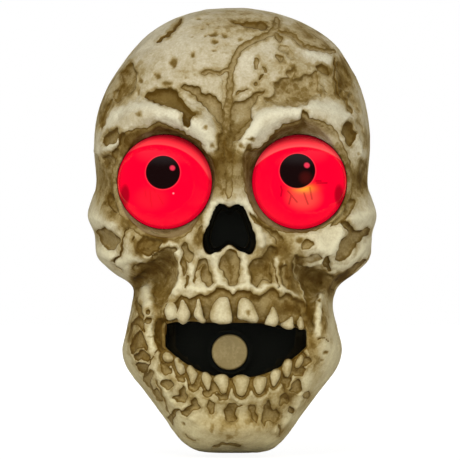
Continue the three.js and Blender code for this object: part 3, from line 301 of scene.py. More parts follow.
# Wash: how far the brown wash has settled, from the drawn edges, the broad wash and a mottle, plus painted
# ledge shade.
# Noises are given by scale, detail and roughness, ranges by where they start and end
washSet = {
    "ragged": (420.0, 4, 0.6), "mottle": (130.0, 5, 0.6), "spots": (230.0, 3, 0.45), "specks": (850.0, 2),
    "edge": (-0.18, 0.24), "rim": (0.15, 1.1, 1.0, 0.0), "middle": (0.4, 3.6, 1.0, 0.8),
    "halo": (-3.4, 0.3, 0.0, 0.75), "spotEdge": (0.53, 0.62), "spotWeight": (0.14, 0.4, 0.0, 0.15),
    "raggedShare": 0.65, "mottleShare": 0.42, "rimShare": 0.45, "haloShare": 0.75, "speckShare": 0.3,
    "blotch": (1.8, 0.5), "spread": (0.85, 0.3),
}


def makeWash(s):
    inputs = [("Vector", "Vector", None), ("Edge", "Float", farOutside)]
    inputs += [(label, "Float", 0.0) for label in ("Tone", "Broad", "LedgeShade")]
    tree, given, out, _ = newTree("washAndShade", "ShaderNodeTree", inputs, [("Stain", "Float"), ("Step", "Float")])
    vector, tone, broad = given["Vector"], given["Tone"], given["Broad"]

    def swingOf(name):
        return mathNode(tree, "SUBTRACT", noiseNode(tree, vector, *s[name]), 0.5)

    def times(a, b):
        return mathNode(tree, "MULTIPLY", a, b)

    def timesPlus(a, b, c, clamp=False):
        return mathNode(tree, "MULTIPLY_ADD", a, b, c, clamp)

    mottle = swingOf("mottle")
    moved = timesPlus(swingOf("ragged"), s["raggedShare"], given["Edge"])
    inside = rangeNode(tree, moved, *s["edge"])
    # darkest along the edge, paler in the middle, with a thin halo outside
    rim = times(inside, rangeNode(tree, moved, *s["rim"]))
    middle = times(tone, rangeNode(tree, moved, *s["middle"]))
    drawn = times(inside, timesPlus(mottle, s["mottleShare"], middle))
    drawn = timesPlus(times(rim, tone), s["rimShare"], drawn)
    halo = times(rangeNode(tree, moved, *s["halo"]), timesPlus(mottle, *s["blotch"], clamp=True))
    uneven = timesPlus(mottle, timesPlus(broad, *s["spread"]), broad)
    uneven = timesPlus(times(halo, tone), s["haloShare"], uneven)
    # small spots with sharper edges come up where the wash is heavy
    spots = rangeNode(tree, noiseNode(tree, vector, *s["spots"]), *s["spotEdge"])
    uneven = timesPlus(spots, rangeNode(tree, broad, *s["spotWeight"]), uneven)
    total = timesPlus(swingOf("specks"), s["speckShare"], mathNode(tree, "MAXIMUM", drawn, uneven))
    # painted shade under ledges and painted light on the lips below them go on last
    fill(tree, out, Stain=mathNode(tree, "ADD", total, given["LedgeShade"], clamp=True), Step=inside)
    return tree


finishGroup = makeFinish()
washGroup = makeWash(washSet)


def newMaterial(name):
    material = bpy.data.materials.new(name)
    material.use_nodes = True
    tree = material.node_tree
    place = tree.nodes.new("ShaderNodeTexCoord").outputs["Object"]
    return material, tree, tree.nodes["Principled BSDF"], place


# Places a shared group in a material with values of its own
def placeGroup(tree, group, **values):
    node = tree.nodes.new("ShaderNodeGroup")
    node.node_tree = group
    return fill(tree, node, **values).outputs


def addBump(tree, shader, height, strength, distance=0.0002):
    bump = addNode(tree, "ShaderNodeBump", Height=height, Strength=strength, Distance=distance)
    fill(tree, shader, Normal=bump.outputs["Normal"])


# Plain finishes by slot: colour, roughness, metallic, unevenness, grain scale, bump
finishSet = {
    "black_gloss": ((0.005, 0.0055, 0.0042), 0.12, 0.0, 0.03, 500.0, 0.02),
    "contact_rubber": ((0.02, 0.02, 0.02), 0.85, 0.0, 0.1, 900.0, 0.2),
    "white_plastic": ((0.72, 0.70, 0.64), 0.4, 0.0, 0.06, 700.0, 0.08),
    "grey_plastic": ((0.045, 0.045, 0.049), 0.55, 0.0, 0.12, 1400.0, 0.35),
    "steel": ((0.56, 0.57, 0.6), 0.28, 1.0, 0.08, 1600.0, 0.08),
    "gearbox_brass": ((0.6, 0.42, 0.16), 0.32, 1.0, 0.1, 1200.0, 0.1),
    "circuit_board": ((0.016, 0.11, 0.045), 0.35, 0.0, 0.15, 600.0, 0.15),
    "lamp_lens": ((0.85, 0.04, 0.02), 0.1, 0.0, 0.03, 400.0, 0.02),
    "chip_epoxy": ((0.01, 0.01, 0.011), 0.25, 0.0, 0.05, 700.0, 0.05),
    "speaker_frame": ((0.04, 0.04, 0.042), 0.4, 0.6, 0.1, 1000.0, 0.1),
    "speaker_paper": ((0.02, 0.019, 0.018), 0.9, 0.0, 0.2, 1100.0, 0.5),
    "cell_jacket": ((0.03, 0.14, 0.06), 0.3, 0.0, 0.05, 500.0, 0.04),
    "switch_black": ((0.015, 0.015, 0.016), 0.5, 0.0, 0.1, 1300.0, 0.25),
    "lead_red": ((0.34, 0.02, 0.02), 0.45, 0.0, 0.06, 700.0, 0.06),
}


def makeFinishMaterial(name, colour, rough, metallic, variation, grain, bump):
    material, tree, shader, place = newMaterial(name)
    got = placeGroup(tree, finishGroup, Vector=place, Colour=colour, Rough=rough, Variation=variation,
                     Grain_Scale=grain)
    fill(tree, shader, Base_Color=got["Colour"], Roughness=got["Rough"], Metallic=metallic)
    addBump(tree, shader, got["Height"], bump)
    return material


finishes = {name: makeFinishMaterial(name, *s) for name, s in finishSet.items()}

# Bone: pale plastic under a brown wash and painted shade, which the stops take from none to thick
boneSet = {
    "stops": [(0.0, (0.74, 0.69, 0.505)), (0.2, (0.56, 0.488, 0.325)), (0.45, (0.37, 0.283, 0.128)),
              (0.7, (0.2, 0.128, 0.032)), (1.0, (0.105, 0.054, 0.004))],
    "chinTint": (1.0, 0.96, 0.76), "crownTint": (1.0, 1.02, 1.07), "tintFrom": -0.1, "tintTo": 0.095,
    "rough": (0.5, 0.68), "specular": 0.26, "lumps": (110.0, 3), "grain": (520.0, 4, 0.6), "grainShare": 0.34,
    "stepShare": -0.42, "bump": 0.55, "bumpDistance": 0.0016,
}


def makeBone(s):
    material, tree, shader, place = newMaterial("bone_plastic")
    # the wash as laid on the skull; the broad wash and the ledge values carry painted shade as well
    drawn = {"Edge": "hollowEdge", "Tone": "hollowTone", "Broad": "broadWashAndShade", "LedgeShade": "paintedLedgeShade"}
    for label, name in drawn.items():
        node = tree.nodes.new("ShaderNodeAttribute")
        node.attribute_name = name
        drawn[label] = node.outputs["Fac"]
    got = placeGroup(tree, washGroup, Vector=place, **drawn)
    ramp = addNode(tree, "ShaderNodeValToRGB", Fac=got["Stain"])
    stops = ramp.color_ramp.elements
    stops.remove(stops[1])
    for i, (at, colour) in enumerate(s["stops"]):
        stop = stops[0] if i == 0 else stops.new(at)
        stop.position = at
        stop.color = (*colour, 1)
    # the moulding is yellower towards the chin
    height = addNode(tree, "ShaderNodeSeparateXYZ", Vector=place).outputs["Z"]
    climb = rangeNode(tree, height, s["tintFrom"], s["tintTo"], kind="LINEAR")
    tint = mixColour(tree, climb, s["chinTint"], s["crownTint"])
    fill(tree, shader, Base_Color=vectorNode(tree, "MULTIPLY", ramp.outputs["Color"], tint))
    fill(tree, shader, Roughness=rangeNode(tree, got["Stain"], 0.0, 1.0, *s["rough"]))
    fill(tree, shader, Specular_IOR_Level=s["specular"])
    grain, lumps = noiseNode(tree, place, *s["grain"]), noiseNode(tree, place, *s["lumps"])
    relief = mathNode(tree, "MULTIPLY_ADD", grain, s["grainShare"], lumps)
    relief = mathNode(tree, "MULTIPLY_ADD", got["Step"], s["stepShare"], relief)
    addBump(tree, shader, relief, s["bump"], s["bumpDistance"])
    return material


boneMaterial = makeBone(boneSet)
print("materials ready")

# Skull face: sizes of the moulding, with lengths in millimetres
skullSet = {
    "rim": 3.1, "land": 1.0, "wall": 2.6, "face": 62.0, "edgePower": 4.0, "chinPower": 12.0, "outside": 1.6,
    "eye": (36.0, 26.0), "brow": (9.0, 36.5, 6.5), "lip": 50.0, "bore": 25.4, "flare": 19.0,
    "socketReach": 40.0, "mouth": (2.0, 37.5, -49.0, -53.0, -62.0, -78.5), "mouthLean": 3.0,
    "nose": (-1.4, 14.2), "noseBack": 51.0, "noseRim": (1.4, 2.6, 2.0), "half": 120.5,
    "crown": (74.8, 46.0, 74.5, 2 / 2.2), "panel": (56.0, 100.0, 0.6), "boss": 3.6, "collar": 2.2,
    "openFrom": 20.0, "grid": ((-80.25, 80.3), (0.25, 76.0), (-123.0, 123.1)), "band": 2.2,
    "step": 0.86, "quickStep": 1.5, "flareLeast": 1.5, "flarePower": 1.4, "socketRound": 0.9,
    "noseRound": 1.4, "mouthRound": 1.0, "mouthPowers": (2.5, 2.2), "mouthLeanFrom": (0.2, 0.9),
    "browFrom": (-0.1, 0.7), "chinTurn": 3,
}
# where the skull's edge runs, from the middle of the chin up one side to the temple
outlineHalf = [
    (19.25, -119), (27.5, -113.5), (37.3, -100.5), (47, -87.5), (57, -74), (59.3, -66), (57, -53),
    (54.5, -41), (56, -31), (65, -22.5), (73.5, -14.5), (75.9, -2), (78.3, 8), (75.95, 17), (73.6, 24),
]
# where one side leaves the mirrored form: side, height, tallness, shift inward
outlineLeans = [
    (-1, 94, 23, 3.5), (1, 103, 8, -1.8), (-1, -6, 9, 1.7), (-1, -29, 6, 2.6), (1, -23, 9, -2.3),
]
# swellings and dips of both sides: across, height, width, tallness, rise
faceForms = [
    (27, 84, 24, 22, 2.5), (67, 52, 11, 17, -5), (0, 46, 7, 6, -2), (0, 27, 8.5, 16, 7), (15, -2, 7, 12, 3),
    (44, -9, 16, 8, 7), (64, 1, 9, 10, 7), (43, -28, 9, 8.5, -13), (0, -36, 29, 17, 9), (50, -46, 7, 17, 4),
    (41, -47, 4.5, 11, -6), (0, -85, 36, 11, 7), (0, -109, 22, 9, 10), (0, -98, 16, 5, -2),
    (50, -72, 9, 9, 3),
]
# hollows sculpted into one side or the other: across, height, width, tallness, rise
sculptedHollows = [
    (-34, 70, 13, 5, -2.5), (-17, 71, 8, 5.5, -2), (-7.5, 56, 5, 14, -2.5), (5.5, 63, 6, 10, -2.5),
    (32, 73, 14, 7, -2.5), (-37, -21, 8, 12, -4), (42, -24, 8, 12, -4), (-24, -11.5, 5, 6, -2),
    (-14.5, -22, 5, 8, -2.5), (-0.5, -20, 6, 9, -2.5), (16, -20, 7, 9, -2.5), (-66, -5, 6, 6, -2.5),
    (-43.5, -8, 8, 5, -2.5), (64, -6, 6, 9, -3), (-27.5, -89, 8, 7, -2), (-12.5, -86, 8, 5, -2),
    (-0.5, -96.5, 6, 6, -2), (20, -97, 6, 6, -2), (30, -85, 7, 7, -2),
]
noseHalf = [
    (0, 12.2), (4.92, 15.2), (8.2, 12.2), (11.93, 3.2), (14.2, -6.5), (11.36, -12.5), (5.96, -11.3),
    (0, -7.4),
]
# rims of the eye sockets, as places in the picture
leftOrbit = [
    (124, 133), (130, 130), (140, 128), (150, 127), (154, 123), (160, 122), (165, 124), (175, 128),
    (182, 131), (188, 135), (196, 139), (201, 143), (204, 150), (212, 157), (216, 168), (216, 180),
    (212, 194), (206, 207), (200, 218), (194, 228), (186, 236), (176, 240), (163, 241), (150, 239),
    (138, 234), (128, 226), (119, 214), (113, 200), (111, 186), (112, 172), (115, 158), (119, 145),
]
rightOrbit = [
    (244, 153), (258, 148), (265, 143), (271, 136), (277, 129), (285, 124), (293, 122), (299, 120),
    (303, 114), (308, 117), (313, 118), (320, 120), (327, 124), (333, 127), (338, 133), (342, 143),
    (347, 152), (351, 162), (353, 173), (353, 187), (350, 201), (345, 211), (337, 219), (327, 226),
    (315, 231), (302, 233), (288, 233), (275, 230), (265, 225), (257, 217), (251, 206), (246, 194),
    (244, 180), (243, 165),
]
sockets = ((-1, leftOrbit), (1, rightOrbit))
# teeth, as places in the picture
toothSet = {"depth": 69.0, "proud": 1.7, "crown": 0.9, "slope": 3.0, "grown": 0.4, "round": 2.4, "thick": 8.0}
upperTeeth = [
    [(166, 316), (165, 310), (168, 304), (172, 303), (175, 306), (176, 313), (176, 318), (172, 320),
        (168, 320)],
    [(177, 316), (179, 308), (182, 300), (185, 304), (188, 310), (190, 315), (188, 320), (183, 324),
        (179, 321)],
    [(194, 315), (196, 307), (198, 299), (200, 304), (202, 311), (204, 318), (206, 321), (203, 323),
        (198, 320)],
    [(210, 318), (212, 308), (216, 301), (220, 298), (227, 298), (229, 303), (231, 311), (232, 320),
        (229, 323), (213, 322)],
    [(238, 318), (238, 309), (240, 301), (243, 298), (249, 300), (253, 305), (256, 312), (258, 318),
        (256, 322), (246, 320)],
    [(265, 324), (267, 318), (270, 313), (273, 307), (276, 311), (278, 317), (278, 322), (275, 326),
        (269, 325)],
    [(281, 325), (285, 322), (289, 319), (292, 317), (293, 323), (293, 328), (287, 329)],
    [(298, 326), (299, 320), (301, 317), (303, 322), (303, 329), (299, 329)],
]
lowerTeeth = [
    [(163, 357), (165, 353), (169, 353), (172, 356), (172, 360), (169, 362), (165, 361)],
    [(175, 360), (177, 358), (181, 363), (184, 367), (184, 372), (181, 374), (178, 371)],
    [(187, 369), (190, 366), (195, 371), (197, 374), (195, 379), (192, 384), (190, 378)],
    [(202, 377), (204, 373), (208, 374), (211, 378), (210, 383), (208, 390), (205, 385)],
    [(214, 379), (217, 376), (221, 375), (226, 376), (228, 379), (227, 387), (225, 393), (222, 393),
        (219, 387)],
    [(233, 379), (238, 376), (244, 376), (249, 379), (247, 387), (245, 393), (242, 396), (238, 394),
        (236, 386)],
    [(254, 380), (257, 377), (262, 377), (266, 378), (265, 386), (262, 392), (259, 394), (256, 390)],
    [(271, 374), (275, 370), (280, 371), (280, 376), (277, 382), (274, 386), (272, 382)],
    [(283, 366), (287, 360), (291, 361), (291, 368), (289, 375), (287, 377), (284, 373)],
    [(296, 364), (298, 359), (301, 355), (303, 357), (302, 363), (299, 367), (296, 367)],
]
# posts for the screws: across, height, depth where they start
bossPlaces = [
    (side * x, z, back) for x, z, back in
    ((20, 108, 3.1), (66, 4, 3.1), (50, -66, 3.1), (57, 56, 22.0), (56, -2, 22.0), (42, -62, 49.2))
    for side in (-1, 1)
]


def skullOutline(s):
    wide, middle, tall, power = s["crown"]
    arch = []
    for i in range(8):
        a = math.pi / 2 * i / 8
        arch.append((wide * math.cos(a) ** power, middle + tall * math.sin(a) ** power))
    half = outlineHalf + arch
    mirrored = [(-x, z) for x, z in reversed(half)]
    loop = np.array([(0, -s["half"])] + half + [(0, s["half"])] + mirrored, float)
    for side, height, reach, inward in outlineLeans:
        shift = side * inward * np.exp(-(((loop[:, 1] - height) / reach) ** 2))
        loop[:, 0] -= np.where(side * loop[:, 0] > 0, shift, 0)
    return closedCurve(loop, 24)


# Edge of the nose opening, grown by a margin
def noseLoop(margin, steps=12):
    middle, widest = skullSet["nose"]
    grown = 1 + margin / widest
    mirrored = [(-x, z) for x, z in reversed(noseHalf[1:-1])]
    return closedCurve([(middle + x * grown, z * grown) for x, z in noseHalf + mirrored], steps)


# Upper and lower edge of the mouth
def mouthEdges(x, middle, halfWidth):
    top, cornerTop, cornerBottom, bottom = skullSet["mouth"][2:]
    upper, lower = skullSet["mouthPowers"]
    share = np.minimum(1, np.abs(x - middle) / halfWidth)
    return top + (cornerTop - top) * share**upper, bottom + (cornerBottom - bottom) * share**lower


def mouthLoop(s=skullSet):
    middle, halfWidth = s["mouth"][:2]
    x = middle + halfWidth * np.linspace(-1, 1, 49)
    high, low = mouthEdges(x, middle, halfWidth)
    high = high + s["mouthLean"] * smooth((middle - x) / halfWidth, *s["mouthLeanFrom"])
    return np.concatenate([np.stack([x, low], 1), np.stack([x, high], 1)[::-1]])


outlineLoop = skullOutline(skullSet)
outlineAngle = np.arctan2(outlineLoop[:, 1], outlineLoop[:, 0])
outlineReach = np.hypot(outlineLoop[:, 0], outlineLoop[:, 1])


# Share of the way to the edge, depth of the forms before the edge falls away, and how sharply it falls
def faceMap(x, z, s=skullSet):
    share = np.hypot(x, z) / np.interp(np.arctan2(z, x), outlineAngle, outlineReach, period=2 * math.pi)
    form = np.full(x.shape, s["face"])
    side = np.abs(x)
    for across, forms in ((side, faceForms), (x, sculptedHollows)):
        for *place, rise in forms:
            form = form + rise * mound(across, z, *place)
    rise, radius, width = s["brow"]
    reach = np.hypot(side - s["eye"][0], z - s["eye"][1]) + 1e-6
    upper = smooth((z - s["eye"][1]) / reach, *s["browFrom"])
    form = form + rise * np.exp(-(((reach - radius) / width) ** 2)) * upper
    rise, away, width = s["noseRim"]
    form = form + rise * np.exp(-(((lineDistance(x, z, noseLoop(0), True) - away) / width) ** 2))
    downward = np.maximum(0, -z / (np.hypot(x, z) + 1e-6))
    power = s["edgePower"] + (s["chinPower"] - s["edgePower"]) * downward ** s["chinTurn"]
    return share, form, power


# Depth of the outer skin before it is carved
def skinDepth(x, z, s=skullSet):
    share, form, power = faceMap(np.asarray(x, float), np.asarray(z, float))
    base = s["rim"] + s["land"]
    return base + np.sqrt(1 - np.minimum(1, share) ** power) * (form - base)


# Reach from one eye, depth of the socket's wall and share of the way to its rim, the drawn loop
def socketMap(x, z, side, loop, s=skullSet):
    cx, cz = side * s["eye"][0], s["eye"][1]
    rim = closedCurve(np.array(faceOf(loop)) - (cx, cz), 6)
    rim = rim[np.argsort(np.arctan2(rim[:, 1], rim[:, 0]))]
    angle = np.arctan2(rim[:, 1], rim[:, 0])
    reach = np.hypot(x - cx, z - cz)
    rimReach = np.interp(
        np.arctan2(z - cz, x - cx), angle, np.hypot(rim[:, 0], rim[:, 1]), period=2 * math.pi)
    share = np.maximum(0, (reach - s["bore"]) / np.maximum(s["flareLeast"], rimReach - s["bore"]))
    depth = s["lip"] + s["flare"] * share ** s["flarePower"]
    return reach, depth, share


# Distance to each tooth's outline, and the depth of its front
def toothFields(x, z, s):
    rows = []
    for upper, group in ((True, upperTeeth), (False, lowerTeeth)):
        for tooth in group:
            loop = closedCurve(faceOf(tooth, s["depth"]), 5)
            middle = loop.mean(axis=0)
            root = loop[:, 1].max() if upper else loop[:, 1].min()
            front = float(skinDepth([middle[0]], [root])[0]) + s["proud"]
            rows.append((lineDistance(x, z, loop, True), front))
    return rows


# A field over the face, ready to be set against the depths
def slab(flat):
    return flat[:, None, :].astype(np.float32)


# Solid of the skull as distances on a grid, below zero inside
def skullField(s, t):
    step = s["step"]
    xs, ds, zs = (np.arange(low, high, step) for low, high in s["grid"])
    x, z = np.meshgrid(xs, zs, indexing="ij")
    share, form, power = faceMap(x, z)
    base = s["rim"] + s["land"]
    d = ds[None, :, None].astype(np.float32)
    lift = np.maximum(0, (d - base) / (form[:, None, :] - base)).astype(np.float32)
    q = slab(np.minimum(share, s["outside"]) ** power) + lift * lift - 1
    slope = np.zeros_like(q)
    for axis in range(3):
        slope += np.gradient(q, step, axis=axis) ** 2
    skin = q / np.sqrt(slope + 1e-7)
    del q, slope, lift
    solid = np.maximum(skin, -(skin + s["wall"]))
    # posts, and collars behind the nose and the mouth
    nose = slab(lineDistance(x, z, noseLoop(0), True))
    mouth = slab(lineDistance(x, z, mouthLoop(), True))
    depth, radius, gap = s["panel"]
    panel = slab(depth - radius + np.sqrt(radius**2 - x**2) + gap)
    added = [(slab(np.hypot(x - bx, z - bz) - s["boss"]), back) for bx, bz, back in bossPlaces]
    added += [(nose - s["collar"], s["noseBack"]), (mouth - s["collar"], panel)]
    for shape, back in added:
        solid = np.minimum(solid, np.maximum(np.maximum(shape, back - d), skin))
    for side, loop in sockets:
        reach, depth, _ = socketMap(x, z, side, loop)
        tilt = np.sqrt(1 + np.gradient(depth, step, axis=0) ** 2 + np.gradient(depth, step, axis=1) ** 2)
        above = ((d - depth[:, None, :]) / tilt[:, None, :]).astype(np.float32)
        bore = slab(s["bore"] - reach)
        wall = np.maximum(np.maximum(above, -(above + s["wall"])), np.maximum(skin, bore))
        solid = np.minimum(solid, np.maximum(wall, slab(reach - s["socketReach"])))
        solid = np.maximum(softMax(solid, above, s["socketRound"]), bore)
    for opening, radius in ((nose, s["noseRound"]), (mouth, s["mouthRound"])):
        solid = softMax(solid, np.where(d > s["openFrom"], -opening, -9).astype(np.float32), radius)
    for flat, front in toothFields(x, z, t):
        bulge = front - t["crown"] * np.clip(1 + flat / t["slope"], 0, 1) ** 2
        tooth = softMax(slab(flat) - t["grown"], d - slab(bulge), t["round"])
        solid = np.minimum(solid, np.maximum(tooth, front - t["thick"] - d))
    solid = np.maximum(solid, s["rim"] - d)
    return np.clip(solid, -s["band"], s["band"]).astype(np.float32), (xs[0], ds[0], zs[0])


# Hollows of the forehead: depth, tone, places in the picture
foreheadHollows = [
    (1.4, 0.92, [(143, 96), (150, 92), (158, 89), (165, 88), (172, 89), (178, 94), (182, 99), (187, 104),
        (191, 109), (196, 113), (196, 116), (191, 117), (190, 126), (186, 127), (183, 121), (182, 116),
        (183, 112), (179, 110), (170, 108), (160, 105), (150, 100)]),
    (1.4, 0.64, [(180, 87), (184, 84), (192, 85), (199, 87), (203, 93), (210, 94), (217, 98), (221, 104),
        (224, 112), (226, 128), (225, 150), (223, 158), (218, 156), (219, 135), (223, 130), (216, 119),
        (208, 110), (199, 101), (190, 93)]),
    (1.3, 0.6, [(233, 103), (240, 101), (248, 98), (253, 94), (259, 91), (266, 91), (262, 95), (257, 98),
        (256, 103), (251, 107), (251, 116), (245, 120), (238, 127), (234, 131), (231, 128), (230, 118),
        (231, 109)]),
    (1.3, 0.66, [(251, 113), (250, 124), (245, 132), (240, 139), (234, 141), (231, 135), (231, 120)]),
    (1.3, 0.5, [(273, 84), (277, 81), (283, 78), (288, 76), (294, 79), (300, 78), (303, 75), (310, 74),
        (315, 71), (318, 70), (318, 78), (319, 88), (320, 94), (315, 96), (311, 99), (308, 104), (304, 107),
        (300, 105), (297, 107), (288, 107), (280, 106), (272, 103), (266, 103), (263, 100), (265, 97),
        (271, 97), (275, 93), (275, 88)]),
    (1.0, 0.55, [(287, 72), (290, 69), (294, 68), (296, 72), (295, 77), (291, 79), (287, 76)]),
    (1.2, 0.75, [(315, 66), (320, 64), (326, 66), (330, 70), (329, 75), (325, 74), (320, 72)]),
    (1.0, 0.8, [(231, 23), (240, 22), (252, 21), (262, 21), (266, 23), (267, 28), (263, 30), (256, 29),
        (248, 27), (240, 25)]),
    (0.8, 0.6, [(275, 31), (280, 34), (283, 39), (280, 42), (277, 39), (274, 35)]),
    (0.6, 0.38, [(279, 45), (288, 45), (292, 50), (294, 57), (290, 59), (285, 53), (279, 50)]),
    (0.8, 0.55, [(275, 54), (285, 57), (282, 62), (278, 60)]),
    (0.8, 0.55, [(255, 58), (258, 57), (259, 63), (257, 69), (254, 70)]),
    (0.8, 0.55, [(262, 65), (265, 67), (268, 71), (266, 73), (263, 70)]),
    (0.9, 0.75, [(259, 76), (263, 73), (265, 74), (262, 78), (259, 80)]),
    (0.8, 0.6, [(253, 83), (257, 82), (258, 85), (254, 86)]),
    (0.8, 0.6, [(235, 93), (240, 90), (249, 89), (246, 91), (240, 93), (236, 96)]),
    (1.2, 0.64, [(131, 62), (135, 68), (136, 80), (134, 90), (128, 95), (121, 99), (117, 104), (115, 98),
        (118, 90), (122, 82), (121, 74), (126, 67)]),
    (1.0, 0.55, [(113, 92), (118, 88), (117, 98), (112, 98)]),
    (1.0, 0.66, [(101, 132), (101, 122), (104, 110), (108, 102), (113, 99), (112, 106), (108, 114),
        (105, 125)]),
    (1.0, 0.58, [(340, 91), (345, 95), (349, 104), (354, 113), (350, 113), (344, 102), (339, 94)]),
]
# Hollows round the sockets and on the cheeks
cheekHollows = [
    (1.4, 0.7, [(104, 145), (103, 140), (108, 133), (113, 130), (118, 128), (119, 133), (117, 140),
        (112, 145)]),
    (1.4, 0.85, [(119, 134), (125, 133), (130, 138), (127, 146), (121, 150), (119, 143)]),
    (1.2, 0.75, [(112, 151), (117, 149), (120, 153), (118, 160), (113, 159)]),
    (1.2, 0.6, [(103, 157), (110, 155), (115, 160), (112, 166), (105, 166)]),
    (1.5, 0.8, [(107, 197), (109, 192), (113, 194), (117, 202), (119, 210), (115, 213), (110, 208),
        (107, 203)]),
    (1.8, 0.85, [(345, 122), (350, 121), (353, 127), (356, 135), (353, 143), (349, 147), (345, 140),
        (342, 132)]),
    (1.2, 0.6, [(302, 109), (305, 111), (310, 118), (306, 119), (302, 115)]),
    (1.5, 0.62, [(97, 230), (104, 228), (110, 231), (116, 236), (120, 240), (117, 244), (113, 250),
        (108, 250), (103, 246), (99, 239)]),
    (1.2, 0.85, [(131, 240), (132, 236), (135, 236), (133, 240)]),
    (1.2, 0.6, [(196, 232), (199, 226), (203, 224), (203, 230), (201, 238), (198, 244), (195, 240)]),
    (1.6, 0.84, [(135, 246), (140, 238), (150, 233), (160, 236), (164, 241), (160, 247), (161, 249),
        (155, 252), (150, 256), (145, 256), (139, 252)]),
    (1.9, 0.6, [(151, 257), (158, 252), (165, 248), (172, 247), (178, 249), (174, 254), (177, 262),
        (178, 270), (176, 280), (172, 288), (170, 295), (166, 303), (160, 306), (156, 304), (153, 298),
        (154, 290), (155, 284), (150, 279), (146, 284), (141, 288), (134, 286), (133, 280), (137, 276),
        (142, 274), (136, 273), (131, 270), (133, 266), (138, 265), (142, 262), (148, 263), (153, 262)]),
    (1.6, 0.6, [(182, 255), (180, 262), (182, 270), (183, 277), (187, 273), (187, 266), (185, 260)]),
    (1.6, 0.58, [(186, 242), (188, 247), (192, 252), (194, 258), (191, 262), (187, 262), (184, 257),
        (182, 250), (182, 245)]),
    (1.2, 0.6, [(187, 274), (189, 278), (188, 284), (186, 288), (184, 288), (185, 281)]),
    (1.8, 0.6, [(197, 264), (199, 260), (203, 258), (207, 260), (208, 265), (210, 272), (213, 279),
        (213, 284), (209, 287), (205, 284), (201, 278), (200, 272), (203, 266), (199, 270)]),
    (1.8, 0.6, [(219, 263), (222, 257), (228, 250), (233, 248), (237, 251), (239, 258), (240, 266),
        (239, 275), (236, 284), (231, 287), (227, 281), (224, 273), (220, 269)]),
    (1.8, 0.62, [(251, 275), (249, 268), (250, 263), (257, 259), (263, 256), (266, 250), (270, 246),
        (275, 247), (277, 251), (274, 257), (271, 262), (270, 269), (272, 278), (273, 284), (268, 282),
        (265, 279), (262, 280), (259, 286), (256, 287), (252, 282)]),
    (1.5, 0.62, [(343, 205), (350, 198), (356, 200), (354, 208), (349, 215), (343, 221), (336, 225),
        (330, 227), (335, 218)]),
    (1.8, 0.7, [(341, 222), (347, 221), (352, 226), (357, 231), (363, 229), (369, 227), (370, 231),
        (364, 238), (358, 245), (354, 251), (349, 257), (343, 261), (336, 261), (335, 256), (338, 248),
        (341, 240), (347, 235), (348, 231), (343, 227)]),
    (1.4, 0.75, [(331, 289), (336, 280), (344, 273), (353, 266), (362, 260), (367, 260), (366, 264),
        (358, 272), (349, 280), (341, 285), (335, 292)]),
    (1.2, 0.52, [(337, 62), (342, 64), (348, 72), (352, 81), (350, 90), (345, 92), (340, 88), (337, 76)]),
    (0.9, 0.38, [(350, 92), (355, 100), (360, 112), (357, 114), (352, 106), (348, 97)]),
    (0.9, 0.38, [(356, 118), (361, 123), (366, 134), (368, 146), (364, 150), (360, 140), (357, 130)]),
    (0.9, 0.52, [(361, 160), (366, 163), (368, 170), (366, 181), (362, 186), (361, 172)]),
    (1.6, 0.7, [(322, 262), (326, 256), (328, 255), (330, 259), (329, 265), (332, 271), (328, 271),
        (324, 267)]),
    (1.9, 0.52, [(296, 255), (303, 259), (309, 257), (316, 254), (321, 255), (322, 259), (316, 262),
        (309, 264), (303, 265), (312, 268), (320, 271), (328, 274), (333, 276), (331, 282), (325, 285),
        (328, 290), (322, 292), (318, 297), (315, 305), (313, 318), (312, 335), (309, 330), (308, 318),
        (306, 305), (303, 292), (299, 282), (295, 278), (293, 268), (293, 260)]),
    (1.4, 0.6, [(302, 241), (307, 238), (314, 242), (315, 246), (310, 248), (305, 251), (301, 248)]),
    (1.6, 0.62, [(250, 212), (256, 218), (264, 224), (272, 229), (280, 234), (284, 240), (278, 246),
        (275, 240), (268, 232), (260, 226), (252, 220)]),
    (1.4, 0.62, [(281, 268), (286, 264), (289, 270), (290, 280), (291, 288), (287, 289), (283, 283),
        (280, 275)]),
]
